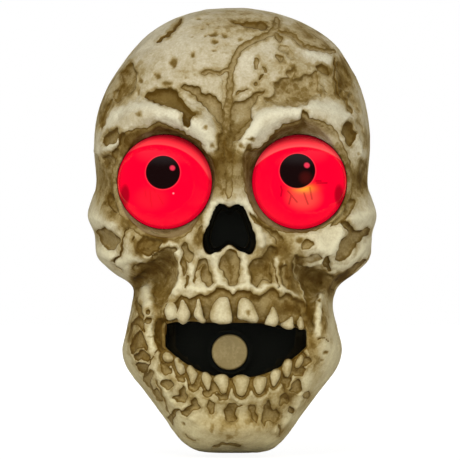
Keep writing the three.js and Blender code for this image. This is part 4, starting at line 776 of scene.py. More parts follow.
# Hollows of the jaw, and the gums that the teeth stand in
jawHollows = [
    (1.2, 0.66, [(136, 299), (139, 303), (142, 309), (143, 318), (141, 320), (137, 314), (135, 306)]),
    (1.2, 0.75, [(132, 320), (137, 317), (143, 319), (144, 334), (139, 327), (135, 325), (131, 328),
        (128, 335), (127, 340), (126, 336), (129, 327)]),
    (1.1, 0.74, [(133, 336), (139, 330), (144, 337), (147, 345), (147, 351), (142, 348), (137, 350),
        (131, 355), (130, 347)]),
    (1.1, 0.72, [(133, 357), (138, 352), (142, 350), (148, 354), (150, 359), (146, 362), (141, 359),
        (137, 362)]),
    (1.1, 0.72, [(134, 364), (138, 363), (142, 363), (147, 364), (149, 367), (146, 371), (142, 374),
        (138, 369)]),
    (0.9, 0.55, [(142, 379), (146, 375), (150, 370), (154, 373), (151, 380), (150, 388), (145, 384)]),
    (0.8, 0.55, [(152, 392), (156, 388), (160, 394), (163, 402), (159, 402)]),
    (1.0, 0.6, [(145, 310), (149, 309), (151, 312), (150, 315), (146, 315)]),
    (1.0, 0.6, [(145, 318), (149, 317), (152, 320), (150, 324), (146, 324)]),
    (2.0, 0.98, [(155, 326), (159, 319), (166, 317), (170, 335), (166, 350), (160, 352), (155, 343),
        (154, 334)]),
    (1.2, 0.6, [(161, 361), (165, 363), (170, 367), (172, 374), (162, 374)]),
    (1.4, 0.62, [(160, 382), (164, 380), (168, 380), (172, 379), (173, 387), (167, 390), (162, 387)]),
    (1.4, 0.62, [(172, 398), (178, 394), (180, 388), (183, 385), (186, 391), (187, 397), (184, 403),
        (176, 402)]),
    (1.2, 0.6, [(175, 377), (180, 375), (185, 377), (184, 383), (178, 382)]),
    (1.4, 0.66, [(188, 384), (193, 384), (197, 378), (200, 374), (201, 386), (198, 391), (193, 393),
        (189, 391)]),
    (1.4, 0.66, [(201, 391), (206, 390), (209, 385), (211, 380), (215, 382), (219, 389), (214, 394),
        (207, 398), (203, 396)]),
    (1.2, 0.62, [(215, 393), (221, 395), (228, 393), (228, 399), (222, 402), (217, 399)]),
    (1.4, 0.62, [(180, 411), (186, 409), (190, 404), (194, 397), (198, 403), (200, 409), (195, 411),
        (190, 414), (186, 418), (182, 415)]),
    (1.2, 0.58, [(166, 420), (170, 415), (175, 409), (181, 409), (176, 413), (173, 420), (172, 427)]),
    (1.2, 0.6, [(207, 405), (209, 400), (213, 402), (215, 409), (213, 416), (209, 414)]),
    (1.4, 0.62, [(225, 418), (225, 410), (229, 405), (233, 403), (238, 405), (243, 406), (238, 408),
        (236, 412), (236, 421), (228, 421)]),
    (1.2, 0.6, [(248, 407), (252, 404), (256, 407), (257, 414), (258, 421), (256, 425), (252, 417),
        (249, 411)]),
    (1.4, 0.62, [(263, 412), (264, 405), (269, 400), (271, 404), (273, 410), (278, 409), (280, 415),
        (279, 421), (274, 423), (268, 421), (264, 427), (262, 421)]),
    (1.3, 0.62, [(280, 398), (282, 394), (285, 393), (289, 396), (290, 402), (288, 405), (285, 404),
        (281, 407), (279, 403)]),
    (1.0, 0.6, [(288, 412), (290, 407), (293, 408), (294, 413)]),
    (1.3, 0.64, [(292, 387), (295, 381), (300, 380), (303, 388), (301, 393), (295, 393), (290, 391)]),
    (1.0, 0.58, [(302, 395), (306, 392), (310, 391), (311, 397), (308, 400)]),
    (1.4, 0.66, [(281, 377), (285, 374), (290, 375), (292, 380), (289, 388), (285, 389), (282, 383)]),
    (1.4, 0.64, [(291, 372), (294, 368), (298, 369), (304, 366), (306, 370), (303, 376), (297, 377),
        (293, 376)]),
    (1.2, 0.62, [(304, 358), (310, 356), (312, 361), (308, 366), (304, 365)]),
    (1.6, 0.66, [(164, 308), (168, 303), (176, 301), (178, 297), (181, 295), (185, 297), (189, 299),
        (193, 297), (199, 294), (207, 295), (211, 293), (216, 289), (222, 288), (229, 290), (233, 294),
        (238, 291), (245, 290), (250, 291), (256, 295), (260, 296), (266, 292), (270, 289), (275, 288),
        (278, 291), (280, 297), (284, 295), (287, 293), (290, 294), (293, 297), (297, 299), (305, 302),
        (308, 320), (304, 334), (290, 334), (260, 328), (230, 326), (200, 327), (175, 326), (163, 322)]),
]
# Grooves: half width, depth, tone, places in the picture
grooves = [
    (1.7, 1.2, 0.56, [(277, 19), (276, 28), (270, 33), (258, 38), (248, 43), (241, 47), (237, 53), (234, 60),
        (232, 67), (231, 72), (230, 80)]),
    (2.0, 1.0, 0.58, [(230, 79), (230, 90), (229, 100), (227, 110), (227, 125), (229, 138), (229, 150),
        (229, 163), (229, 175), (229, 190), (229, 195)]),
    (1.3, 1.1, 0.56, [(231, 67), (226, 70), (220, 73), (214, 72), (208, 71), (203, 73)]),
    (1.3, 1.1, 0.56, [(277, 31), (288, 33), (294, 36), (299, 42), (304, 46), (312, 48), (322, 50),
        (334, 51)]),
    (0.8, 0.9, 0.85, [(181, 20), (177, 25), (172, 31), (166, 36), (160, 40), (157, 42)]),
    (0.35, 0.4, 0.4, [(222, 78), (223, 90), (223, 100)]),
    (0.6, 0.8, 0.66, [(128, 228), (124, 233), (122, 240), (121, 248), (120, 255), (117, 258), (114, 261),
        (117, 267), (121, 270)]),
    (0.5, 0.7, 0.6, [(199, 266), (196, 272), (194, 283)]),
    (0.6, 0.8, 0.6, [(157, 350), (153, 357), (150, 363), (147, 370), (144, 378)]),
    (0.5, 0.7, 0.6, [(273, 262), (276, 275), (279, 288)]),
    (0.5, 0.7, 0.7, [(335, 57), (335, 75), (337, 90), (340, 97)]),
    (0.5, 0.5, 0.6, [(318, 340), (324, 338), (330, 341)]),
    (0.4, 0.5, 0.5, [(305, 78), (314, 86), (322, 97)]),
    (0.4, 0.5, 0.5, [(312, 76), (320, 84), (328, 93)]),
    (0.5, 0.3, 0.4, [(185, 434), (190, 439), (196, 441)]),
    (0.8, 0.5, 0.5, [(214, 447), (222, 444), (231, 444), (240, 447)]),
    (0.5, 0.5, 0.45, [(147, 382), (152, 391), (157, 400)]),
    (0.5, 0.5, 0.45, [(155, 380), (160, 391), (165, 402), (168, 412)]),
    (0.6, 0.5, 0.5, [(279, 436), (280, 425)]),
]
# Creases that part a hollow with a thin dark line, as places in the picture
creases = [
    [(226, 96), (225, 102), (223, 109), (223, 118), (224, 127), (225, 138), (225, 150), (225, 162)],
    [(233, 96), (232, 104), (231, 110), (231, 118), (231, 128), (233, 138), (233, 148), (232, 162)],
    [(252, 114), (246, 120), (240, 125), (234, 131)],
    [(262, 262), (264, 270), (263, 279)],
    [(228, 258), (231, 268), (231, 280)],
]
# Pits: place in the picture, half width and half height there, depth
pits = [
    (173, 63, 3.6, 5, 1.2), (157.6, 76, 3.4, 3.4, 1.0), (167, 83.5, 5.4, 2.5, 1.0),
    (193, 54.5, 2.6, 3.4, 1.0), (199, 19, 2.5, 1, 0.5), (207, 24, 1.7, 1.3, 0.5), (202, 28, 1.6, 1.1, 0.4),
    (192, 37, 1.7, 0.9, 0.4), (215, 42, 3.3, 2.4, 1.0), (213.6, 34, 5.5, 2, 0.9), (224.5, 35, 4, 3, 1.0),
    (214, 51, 3, 1.2, 0.6), (239.5, 40, 3, 1.6, 0.7), (206, 36, 2, 1.2, 0.6), (139.5, 80, 2.5, 2.5, 0.8),
    (138, 92, 2, 4, 0.8), (185.5, 78, 1.3, 1.3, 0.6), (326, 353, 2, 2, 0.8), (322, 361, 1.6, 1.6, 0.7),
    (263, 217, 1.3, 1.3, 0.6), (358, 154, 1.3, 1.3, 0.6), (248, 313, 2, 3, 0.7), (299, 240, 3, 3, 0.9),
    (319, 301, 1.8, 1.8, 0.7), (323, 311, 1.5, 3, 0.7), (323, 321, 1.5, 3, 0.7), (251, 139, 3.5, 1.5, 0.8),
    (248, 149, 4, 4.5, 1.0), (241, 146, 2.5, 3, 0.8), (212, 428, 2.5, 5, 0.4), (183, 424, 2, 2, 0.6),
    (229, 437, 4, 3, 0.3), (181, 361, 3.4, 2, 1.3), (140, 115, 3, 2, 0.2), (205, 127.5, 1.7, 1.7, 0.6),
    (213, 145, 2, 2.5, 0.5),
]
# Ridges that stand up and stay pale: half width, rise, places in the picture
ridges = [
    (4.5, 1.6, [(97, 148), (104, 131), (116, 116), (132, 108), (150, 109), (168, 114), (186, 123),
        (202, 134), (211, 146)]),
    (4.2, 1.6, [(244, 146), (252, 133), (260, 120), (270, 114), (284, 113), (300, 113), (316, 107),
        (330, 111), (344, 119)]),
    (2.8, 1.3, [(92, 218), (102, 222), (112, 226)]),
    (2.4, 1.2, [(98, 250), (108, 256), (120, 262), (130, 258), (142, 259), (152, 254)]),
    (2.6, 1.3, [(372, 212), (362, 219), (352, 219), (343, 228), (338, 240), (332, 250), (320, 250)]),
    (2.4, 1.2, [(374, 236), (364, 248), (352, 260), (342, 266), (334, 264)]),
    (2.6, 1.4, [(357, 133), (360, 144), (361, 153)]),
    (1.8, 1.0, [(214, 250), (215, 262), (217, 275), (220, 286)]),
    (1.8, 1.0, [(244, 252), (245, 265), (247, 278), (249, 288)]),
    (1.5, 0.9, [(191, 265), (192, 276), (193, 289)]),
    (1.5, 0.9, [(277, 258), (276, 268), (277, 280), (281, 289)]),
    (1.6, 1.0, [(168, 298), (180, 288), (195, 291), (210, 290), (220, 285), (233, 290), (246, 286),
        (258, 291), (272, 285), (284, 291), (296, 296)]),
    (2.4, 1.2, [(146, 288), (148, 300), (149, 312), (149, 325), (151, 338), (155, 351)]),
    (1.5, 1.0, [(319, 296), (319, 310), (318, 326), (318, 336)]),
    (2.0, 1.2, [(95, 153), (103, 150), (111, 147), (118, 144)]),
    (3.6, 0.8, [(103, 254), (113, 262), (126, 268)]),
    (1.1, 1.0, [(161, 247), (169, 243), (177, 247), (180, 258), (181, 270), (180, 282), (175, 294)]),
    (1.0, 0.9, [(302, 268), (312, 265), (320, 262), (326, 266), (333, 272)]),
    (1.0, 0.9, [(320, 262), (325, 255), (330, 252)]),
    (0.8, 0.8, [(296, 260), (299, 280), (304, 300), (306, 318)]),
    (0.8, 0.8, [(284, 262), (286, 280), (290, 296)]),
    (2.0, 1.6, [(207, 236), (208, 226), (210, 214), (214, 204), (222, 202)]),
    (2.2, 1.6, [(262, 244), (258, 230), (252, 214), (247, 204), (238, 202)]),
    (2.5, 0.5, [(262, 135), (268, 128), (276, 122)]),
    (3.2, 0.4, [(309, 53), (317, 58), (325, 61)]),
    (2.2, 1.0, [(152, 366), (160, 377), (168, 394), (178, 406), (192, 419)]),
    (2.2, 1.0, [(306, 378), (300, 398), (290, 418), (276, 430)]),
]
# Where the wash and some painted shade lie broadly: place in the picture, reach across and up, amount
washAndShadePatches = [
    (98, 120, 14, 60, 0.26), (125, 90, 18, 35, 0.32), (165, 72, 52, 42, 0.15), (222, 45, 20, 12, 0.14),
    (165, 108, 14, 5, 0.58), (200, 78, 30, 28, 0.1), (200, 112, 6, 8, 0.25), (294, 62, 38, 32, 0.28),
    (355, 110, 16, 60, 0.18), (240, 25, 55, 12, 0.32), (240, 13, 50, 5, 0.2), (105, 122, 7, 14, 0.55),
    (227, 130, 11, 45, 0.45), (290, 95, 35, 14, 0.36), (267, 108, 14, 5, 0.48), (288, 118, 8, 4, 0.25),
    (305, 33, 10, 8, 0.3), (330, 88, 18, 24, 0.24), (105, 178, 12, 26, 0.5), (110, 203, 10, 18, 0.3),
    (128, 224, 16, 7, 0.68), (112, 217, 8, 6, 0.45), (200, 233, 4, 8, 0.4), (132, 104, 26, 9, 0.3),
    (360, 181, 9, 18, 0.72), (343, 61, 5, 6, 0.4), (368, 145, 4, 20, 0.3), (221, 150, 6, 12, 0.75),
    (214, 163, 9, 8, 0.5), (237, 157, 10, 8, 0.58), (218, 175, 8, 26, 0.5), (240, 175, 9, 26, 0.4),
    (199, 222, 5, 14, 0.35), (257, 222, 6, 16, 0.5), (199, 240, 7, 9, 0.65), (147, 257, 8, 7, 0.45),
    (286, 248, 8, 10, 0.5), (157, 241, 26, 11, 0.5), (345, 206, 8, 16, 0.4), (138, 252, 8, 8, 0.5),
    (148, 270, 15, 12, 0.8), (138, 268, 7, 8, 0.7), (137, 281, 6, 6, 0.6), (168, 262, 9, 10, 0.6),
    (160, 290, 13, 20, 0.5), (277, 260, 7, 12, 0.6), (250, 273, 6, 12, 0.4), (298, 290, 8, 8, 0.45),
    # (348, 279) is a painted shadow line under the right cheekbone
    (300, 264, 9, 8, 0.6), (318, 280, 14, 10, 0.7), (348, 279, 16, 8, 0.88), (309, 315, 6, 28, 0.62),
    (290, 275, 15, 26, 0.45), (350, 245, 14, 18, 0.12), (205, 265, 18, 22, 0.16), (262, 262, 20, 24, 0.38),
    (231, 272, 12, 18, 0.22), (256, 298, 16, 6, 0.4), (292, 309, 18, 10, 0.55), (346, 78, 8, 22, 0.5),
    (300, 26, 8, 5, 0.35), (313, 36, 9, 6, 0.4), (325, 45, 7, 5, 0.4), (230, 429, 22, 9, 0.2),
    (135, 310, 10, 30, 0.2), (138, 345, 10, 20, 0.15), (158, 371, 6, 8, 0.3), (167, 394, 5, 7, 0.3),
    (312, 341, 7, 14, 0.45), (323, 320, 6, 16, 0.6), (330, 294, 6, 8, 0.5), (294, 361, 8, 8, 0.4),
    (317, 365, 6, 14, 0.35), (160, 334, 8, 17, 0.95), (150, 382, 14, 20, 0.08), (180, 390, 25, 18, 0.14),
    (230, 402, 42, 10, 0.22), (263, 389, 16, 8, 0.42), (228, 422, 8, 5, 0.4), (285, 388, 25, 20, 0.32),
    (280, 424, 9, 12, 0.42), (250, 416, 6, 8, 0.3), (298, 402, 9, 10, 0.3), (134, 292, 5, 9, 0.4),
    (129, 331, 4, 8, 0.4), (155, 307, 5, 6, 0.5), (268, 428, 18, 8, 0.25), (222, 428, 16, 8, 0.15),
    (200, 421, 9, 5, 0.2), (230, 441, 40, 7, 0.03),
]
# where light falls into the right socket: place in the picture, reach across and up
litPlace = (322, 139, 18, 8)
# Carving, in millimetres but for what is a place in the picture: cells and millimetres per pixel and the
# waves that lines waver by, walls and bowls of hollows, creases, pits, where ridges stop at an edge,
# scallops and lips of the lower teeth, how teeth are kept clear, and tones
carveSet = {
    "scale": 2, "pixel": 0.53, "waver": 0.8, "wavesAcross": [(0.7, 0.61, 0.37, 1.0), (0.5, 0.23, -0.83, 2.1)],
    "wavesDown": [(0.7, 0.41, -0.57, 0.4), (0.5, 0.91, 0.29, 3.3)],
    "hollow": 1.5, "wallFrom": -0.35, "wallWide": (0.7, 0.5), "wallShare": 0.7, "bowlWide": 4.5,
    "bowlShare": 0.3, "toneFrom": -1.5, "creaseEdge": 0.3, "creaseDeep": 0.3, "creaseWide": 0.5,
    "pitPower": 3, "pitFall": 0.6, "pitTone": (0.55, 0.25), "ridgeStop": (-0.6, 0.4),
    "scallop": 2.2, "scallopDeep": 1.2, "scallopWall": 1.2, "scallopTone": 0.6,
    "lip": 0.6, "lipAway": 0.8, "lipWide": 0.6, "lipStop": (-0.6, 0.2),
    "toothGrown": 0.35, "toothClear": (-0.2, 0.7), "toothStain": 0.1,
    # the sockets' tones, with painted shade at their tops
    "socketTone": 0.56, "socketTopShadeTone": 0.12, "socketTopShade": (185, 140), "socketTopShadeEnd": (320, 300),
    # the lit place's painted light, then painted shade under ledges and painted light on the lips below them,
    # by slope
    "litTone": -0.34, "under": 0.32, "rubbedAndLit": -0.22, "steepest": 0.9,
}


# Maps over the picture's plane: how deep to carve, how far inside an edge, and how dark
def carveMaps(s):
    scale, k, pixels = s["scale"], s["pixel"], cameraSet["pixels"]
    evenV, evenU = np.mgrid[0:pixels:1 / scale, 0:pixels:1 / scale]

    def waves(rows):
        return sum(rise * np.sin(evenU * across + evenV * down + start) for rise, across, down, start in rows)

    u, v = evenU + waves(s["wavesAcross"]) * s["waver"], evenV + waves(s["wavesDown"]) * s["waver"]
    carve, tone, crest, smudge = (np.zeros(u.shape) for _ in range(4))
    edge, toothGap = np.full(u.shape, farOutside), np.full(u.shape, 9.0)

    def window(points, margin=10):
        p = np.asarray(points)
        (u0, v0), (u1, v1) = p.min(axis=0) - margin, p.max(axis=0) + margin
        return np.s_[max(0, int(v0 * scale)):int(v1 * scale), max(0, int(u0 * scale)):int(u1 * scale)]

    def awayFrom(at, points, closed=False):
        return k * lineDistance(u[at], v[at], closedCurve(points, 3) if closed else points, closed)

    def toothAway(at, tooth):
        return k * lineDistance(evenU[at], evenV[at], closedCurve(tooth, 4), True)

    def mark(at, near, depth, shade, wallWidth):
        wall, bowl = smooth(near, s["wallFrom"], wallWidth), smooth(near, 0, s["bowlWide"])
        carve[at] = np.maximum(carve[at], depth * (s["wallShare"] * wall + s["bowlShare"] * bowl))
        nearer = near > edge[at]
        edge[at] = np.where(nearer, near, edge[at])
        tone[at] = np.where(nearer & (near > s["toneFrom"]), shade, tone[at])

    least, more = s["wallWide"]
    for depth, shade, points in foreheadHollows + cheekHollows + jawHollows:
        at = window(points)
        mark(at, -awayFrom(at, points, True), depth * s["hollow"], shade, least + depth * more)
    for _, loop in sockets:
        at = window(loop)
        # the top of each socket is painted darker as shade under the brow, and the lit place paler as painted
        # light
        top = smooth(v[at], *s["socketTopShade"]) * smooth(u[at], *s["socketTopShadeEnd"])
        lit = mound(u[at], v[at], *litPlace)
        shade = s["socketTone"] + s["socketTopShadeTone"] * top + s["litTone"] * lit
        mark(at, -awayFrom(at, loop, True), 0, shade, 1)
    for half, depth, shade, points in grooves:
        at = window(points)
        mark(at, half - awayFrom(at, points), depth, shade, half)
    for points in creases:
        at = window(points)
        away = awayFrom(at, points)
        edge[at] = np.where(edge[at] > 0, np.minimum(edge[at], s["creaseEdge"] + away), edge[at])
        carve[at] += s["creaseDeep"] * np.exp(-((away / s["creaseWide"]) ** 2))
    least, more = s["pitTone"]
    for px, py, wide, tall, depth in pits:
        at = window([(px, py)], margin=14)
        dab = np.exp(-(np.hypot((u[at] - px) / wide, (v[at] - py) / tall) ** s["pitPower"]) * s["pitFall"])
        carve[at] = np.maximum(carve[at], depth * dab)
        smudge[at] = np.maximum(smudge[at], (least + more * depth) * dab)
    for half, rise, points in ridges:
        at = window(points, margin=24)
        line = np.exp(-((awayFrom(at, points) / half) ** 2))
        carve[at] -= rise * line * (1 - smooth(edge[at], *s["ridgeStop"]))
        crest[at] = np.maximum(crest[at], line)
    # each lower tooth stands in a scallop with a pale lip round it
    for tooth in lowerTeeth:
        at = window(tooth, margin=16)
        near = s["scallop"] - toothAway(at, tooth)
        mark(at, near, s["scallopDeep"], s["scallopTone"], s["scallopWall"])
        lip = np.exp(-(((near + s["lipAway"]) / s["lipWide"]) ** 2))
        carve[at] -= s["lip"] * lip * (1 - smooth(edge[at], *s["lipStop"]))
        crest[at] = np.maximum(crest[at], lip)
    for tooth in upperTeeth + lowerTeeth:
        at = window(tooth)
        away = toothAway(at, tooth) - s["toothGrown"]
        carve[at] *= smooth(away, *s["toothClear"])
        edge[at] = np.minimum(edge[at], away + s["toothStain"])
        toothGap[at] = np.minimum(toothGap[at], away)
    # painted shade under a ledge and painted light on the lip below it, by how steeply the carving falls
    slope = np.gradient(carve, axis=0) * scale
    steep = s["steepest"]
    ledgeShade = s["under"] * np.clip(slope, 0, steep) + s["rubbedAndLit"] * np.clip(-slope, 0, steep)
    return carve, edge, tone, toothGap, crest, smudge, ledgeShade


# Largest value within some cells of each, so that the inside keeps clear of what is carved outside
def widest(field, reach):
    out = field
    for axis in (0, 1):
        out = np.max([np.roll(out, i, axis) for i in range(-reach, reach + 1)], axis=0)
    return out


# Value of a map at places in the picture
def sample(field, px, py, scale=carveSet["scale"]):
    px, py = np.clip(px * scale, 0, field.shape[1] - 2), np.clip(py * scale, 0, field.shape[0] - 2)
    i, j = px.astype(int), py.astype(int)
    a, b = px - i, py - j
    top = field[j, i] * (1 - a) + field[j, i + 1] * a
    return top * (1 - b) + (field[j + 1, i] * (1 - a) + field[j + 1, i + 1] * a) * b


def vertexNormals(mesh):
    normals = np.empty(len(mesh.vertices) * 3, np.float32)
    mesh.vertex_normals.foreach_get("vector", normals)
    return normals.reshape(-1, 3)


# Thinning: what counts as inside the shell, what is left alone there by reach and distance in millimetres,
# how far forward a flank may face, and the shares that stay
thinSet = {
    "insideShare": 0.93, "insideShrink": 0.985, "insideDeep": 1.8, "socketReach": 42,
    "socketNear": (1.3, 0.9), "openingNear": 1.2, "flankFacing": 0.3, "innerKept": 0.08, "flankKept": 0.5,
}


# True for points on the inside of the moulding, which is never seen close
def isInside(x, depth, z, s=skullSet, t=thinSet):
    share, form, power = faceMap(x, z)
    base = s["rim"] + s["land"]
    lift = np.maximum(0, (depth - base) / (form - base))
    skin = skinDepth(x * t["insideShrink"], z * t["insideShrink"])
    within = np.minimum(share, s["outside"]) ** power + lift * lift < t["insideShare"]
    return within & (depth < skin - t["insideDeep"])


# Distances of the points to the edges of the nose and the mouth
def openingsNear(x, z):
    return lineDistance(x, z, noseLoop(0, 4), True), lineDistance(x, z, mouthLoop()[::2], True)


# Thins the mesh at the chosen points until about the kept share of them is left
def thin(piece, chosen, kept):
    group = piece.vertex_groups.new(name="chosen")
    group.add(np.nonzero(chosen)[0].tolist(), 1.0, "REPLACE")
    cutter = piece.modifiers.new("thin", "DECIMATE")
    cutter.ratio = 1 - (1 - kept) * chosen.mean()
    cutter.vertex_group = "chosen"
    cutter.vertex_group_factor = 10
    convert(piece)
    piece.vertex_groups.clear()


# Thins the mesh where no one looks closely: inside the shell, then on the flanks
def thinSkull(piece, s):
    x, depth, z = pointsOf(piece)
    inner = isInside(x, depth, z)
    least, more = s["socketNear"]
    for side, loop in sockets:
        reach, wall, share = socketMap(x, z, side, loop)
        inner &= ~((reach < s["socketReach"]) & (np.abs(depth - wall) < least + more * share))
    for away in openingsNear(x, z):
        inner &= np.abs(away) > s["openingNear"]
    thin(piece, inner, s["innerKept"])
    x, depth, z = pointsOf(piece)
    facing = -vertexNormals(piece.data)[:, 1]
    thin(piece, (facing < s["flankFacing"]) & ~isInside(x, depth, z), s["flankKept"])
    print("skull thinned to", sum(len(face.vertices) - 2 for face in piece.data.polygons), "triangles")


# Wash by place, and the sizes of the streaks on the flanks and of the lumps all over
dressSet = {
    # the tops of the sockets and the flanks take painted shade, and the lit place painted light
    "socket": {-1: 0.24, 1: 0.2}, "socketTopShade": 0.3, "lit": 0.75, "nose": 0.9, "mouth": 0.78, "mouthEdge": 0.6,
    "flank": 0.15, "flankTone": 0.36, "upperTeeth": 0.12, "lowerTeeth": 0.2, "toothLine": -62, "rubbedAndLit": 0.85,
    "streak": (11, 7, 19), "streakLess": (0.25, 0.45), "streakLine": -45, "streakDeep": 0.7,
    "lump": (13, 13, 13), "lumpRise": 0.55, "lumpLift": 0.3, "outerFrom": 5, "socketReach": 44, "deep": 1.4,
    "flankLeast": 0.02, "flankDrawn": 0.4, "flankKeeps": 0.4, "streakSteep": 5.0, "wideShare": 0.7,
    "laid": 1.1, "dip": (26, 0.4), "chinLess": 0.6, "toothSmear": 0.7, "clearCells": 7, "clearDepth": 7,
}
# Where an effect comes in and is full: by how far a point faces forward, by depth from the skin, by share of
# the way to a socket's rim, or by distance in millimetres
fadeSet = {
    "front": (0.12, 0.42), "wide": (0.05, 0.2), "flank": (0.2, 0.5), "skin": (-7.0, -3.5),
    "socketTopShade": (-0.6, 0.5), "socketRim": (0.72, 1.06), "opening": (0.6, 1.6), "mouthEdge": (0.3, 1.5),
    "streakWall": (0.0, 0.9), "tooth": (-0.2, 0.8), "chin": (50, 80),
}


# Fractal noise at the chosen points and zero elsewhere, with its size in millimetres each way
def unevenness(x, depth, z, size, octaves, chosen):
    out = np.zeros(len(x))
    wide, deep, tall = size
    for i in np.nonzero(chosen)[0]:
        out[i] = noise.fractal(Vector((x[i] / wide, depth[i] / deep, z[i] / tall)), 1.0, 2.0, octaves)
    return out


# Carves the mesh from the maps and leaves on it how the wash lies
def dressSkull(piece, s, fade):
    mesh = piece.data
    x, depth, z = pointsOf(piece)
    normal = vertexNormals(mesh)
    facing = -normal[:, 1]
    skin = skinDepth(x, z)
    inner = isInside(x, depth, z)
    outer = ~inner & (depth > s["outerFrom"])
    carve, edge, tone, toothGap, crest, smudge, ledgeShade = carveMaps(carveSet)
    px, py = pixelOf(x, depth, z)
    front = smooth(facing, *fade["front"]) * outer
    nearSkin = smooth(depth - skin, *fade["skin"])
    broad = np.zeros(len(x))
    socketShare = np.zeros(len(x))
    lit = s["lit"] * mound(px, py, *litPlace)
    for side, loop in sockets:
        reach, _, share = socketMap(x, z, side, loop)
        # a heavier wash at the top of each socket is painted shade under the brow, held back at the lit place
        # as painted light
        upper = smooth((z - skullSet["eye"][1]) / (reach + 1e-6), *fade["socketTopShade"])
        sunk = (1 - smooth(share, *fade["socketRim"])) * (reach < s["socketReach"])
        socketShare = np.maximum(socketShare, sunk)
        broad = np.maximum(broad, sunk * (s["socket"][side] + s["socketTopShade"] * upper) * (1 - lit))
    deep = depth < skin - s["deep"]
    nose, mouth = openingsNear(x, z)
    for away, amount in ((nose, s["nose"]), (mouth, s["mouth"])):
        broad = np.maximum(broad, amount * deep * (1 - smooth(away, *fade["opening"])))
    # the flanks carry streaks of their own that run down the sides
    flank = outer * (1 - smooth(facing, *fade["flank"])) * (1 - socketShare)
    less = np.where(z > s["streakLine"], *s["streakLess"])
    streaked = flank > s["flankLeast"]
    streak = unevenness(x, depth, z, s["streak"], 4, streaked) - less
    flankEdge = np.where(streaked, s["streakSteep"] * streak, farOutside)
    wide = smooth(facing, *fade["wide"]) * outer
    drawn = np.maximum(wide, socketShare > 0.5) > 0.5
    besides = np.where(flank > s["flankDrawn"], flankEdge, farOutside)
    hollowEdge = np.where(drawn, sample(edge, px, py), besides)
    hollowTone = np.where(drawn, sample(tone, px, py), s["flankTone"])
    move = sample(carve, px, py) * np.maximum(front, s["wideShare"] * wide) * (1 - socketShare) * nearSkin
    move = np.where(drawn, move, s["streakDeep"] * flank * smooth(flankEdge, *fade["streakWall"]))
    # a hand-sculpted unevenness over the whole outside
    plain = smooth(sample(toothGap, px, py), *fade["tooth"])
    bare = outer & (socketShare < 0.5)
    lumps = unevenness(x, depth, z, s["lump"], 3, bare) + s["lumpLift"]
    move = np.where(bare, move + s["lumpRise"] * plain * lumps, move)
    # the broad wash, with some painted shade, lies in patches and gathers where the forms sink
    clear = np.ones(len(x))
    for *place, amount in washAndShadePatches:
        clear *= 1 - amount * mound(px, py, *place)
    full, most = s["dip"]
    dip = np.clip((skullSet["face"] - faceMap(x, z)[1]) / full, 0, most)
    # on the flanks the wash grows as the surface turns away from the front, which is painted shade, less
    # towards the chin
    low = 1 - s["chinLess"] * smooth(-z, *fade["chin"])
    smear = sample(smudge, px, py)
    laid = np.maximum(np.maximum(s["laid"] - clear, dip), s["flank"] * flank * low) * outer
    laid = laid * (1 - s["rubbedAndLit"] * sample(crest, px, py) * (1 - s["flankKeeps"] * flank))
    laid = np.maximum(laid, smear * outer)
    laid = np.maximum(laid, s["mouthEdge"] * outer * (1 - smooth(mouth, *fade["mouthEdge"])))
    onTeeth = np.where(z < s["toothLine"], s["lowerTeeth"], s["upperTeeth"])
    onTeeth = np.maximum(onTeeth, s["toothSmear"] * smear)
    laid = laid * plain + onTeeth * (1 - plain) * outer
    co = np.stack([x, -depth, z], 1) - normal * move[:, None]
    clearance = np.maximum(0, sample(widest(carve, s["clearCells"]), px, py))
    co[:, 1] += np.where(inner & (depth > skin - s["clearDepth"]), clearance, 0)
    mesh.vertices.foreach_set("co", (co * mm).astype(np.float32).ravel())
    shares = {"hollowEdge": hollowEdge, "hollowTone": hollowTone, "broadWashAndShade": np.maximum(broad, laid)}
    # painted shade under ledges and painted light below them, on forward faces outside the sockets
    shares["paintedLedgeShade"] = sample(ledgeShade, px, py) * front * (1 - socketShare)
    for name, values in shares.items():
        mesh.attributes.new(name, "FLOAT", "POINT").data.foreach_set("value", values.astype(np.float32))
    mesh.update()
    mesh.shade_smooth()


def makeSkull(s):
    field, start = skullField(s, toothSet)
    grid = openvdb.FloatGrid(s["band"])
    grid.copyFromArray(field)
    points, quads = grid.convertToQuads(isovalue=0.0)
    points = (points * s["step"] + np.array(start)) * (1, -1, 1)
    piece = addPiece("skullFace", points * mm, quads.tolist(), boneMaterial, 3.0)
    fixNormals(piece, 0)
    thinSkull(piece, thinSet)
    dressSkull(piece, dressSet, fadeSet)
    settle(piece, "skull", "bone_plastic", "skull_shell")


makeSkull(skullSet)
print("skull made")

# Eyes: a glossy shell, lit red from inside, with a printed pupil and fine veins
eyeSet = {
    "radius": 25.2, "wall": 1.6, "wrap": 110, "depth": 43.0, "height": 26.0, "around": 220, "steps": 96,
    "innerSteps": 24, "red": (1.0, 0.0, 0.027, 1), "ring": (1.0, 0.06, 0.09), "ringWidth": 0.55,
    "ringShare": 0.45, "pupil": (0.006, 0.001, 0.001), "soft": 0.004, "skin": (0.12, 0.0, 0.002),
    "pupilSkin": (0.003, 0.002, 0.002), "seen": 0.9, "cast": 0.1, "rough": 0.06, "specular": 0.18,
}
# Glow with painted light: sizes and ranges in millimetres, the limb by share of the radius, tints as green
# and blue added to red
glowAndPaintedLightSet = {
    "reflectionEdge": (0, 0.5), "reflectionFade": 2.4, "reflectionFrom": (0, 5), "reflectionTint": (1.0, 0.75),
    "warmSize": (10.5, 7.6), "warmEdge": (0.35, 1.15), "warmTint": (0.07, 0.028),
    "hotSize": (5.0, 2.1), "hotUp": 5, "hotTint": (0.4, -0.02), "limb": (0.99, 0.88), "limbShade": 0.6,
    "corner": (20.9, -7.0, 3.0, 6.6), "cornerEdge": (0.5, 1.1), "cornerShade": 0.62,
    "top": (1.5, 6.0), "browShadow": 0.7, "veinEdge": (0.5, 1.4), "veinDark": 0.55,
}
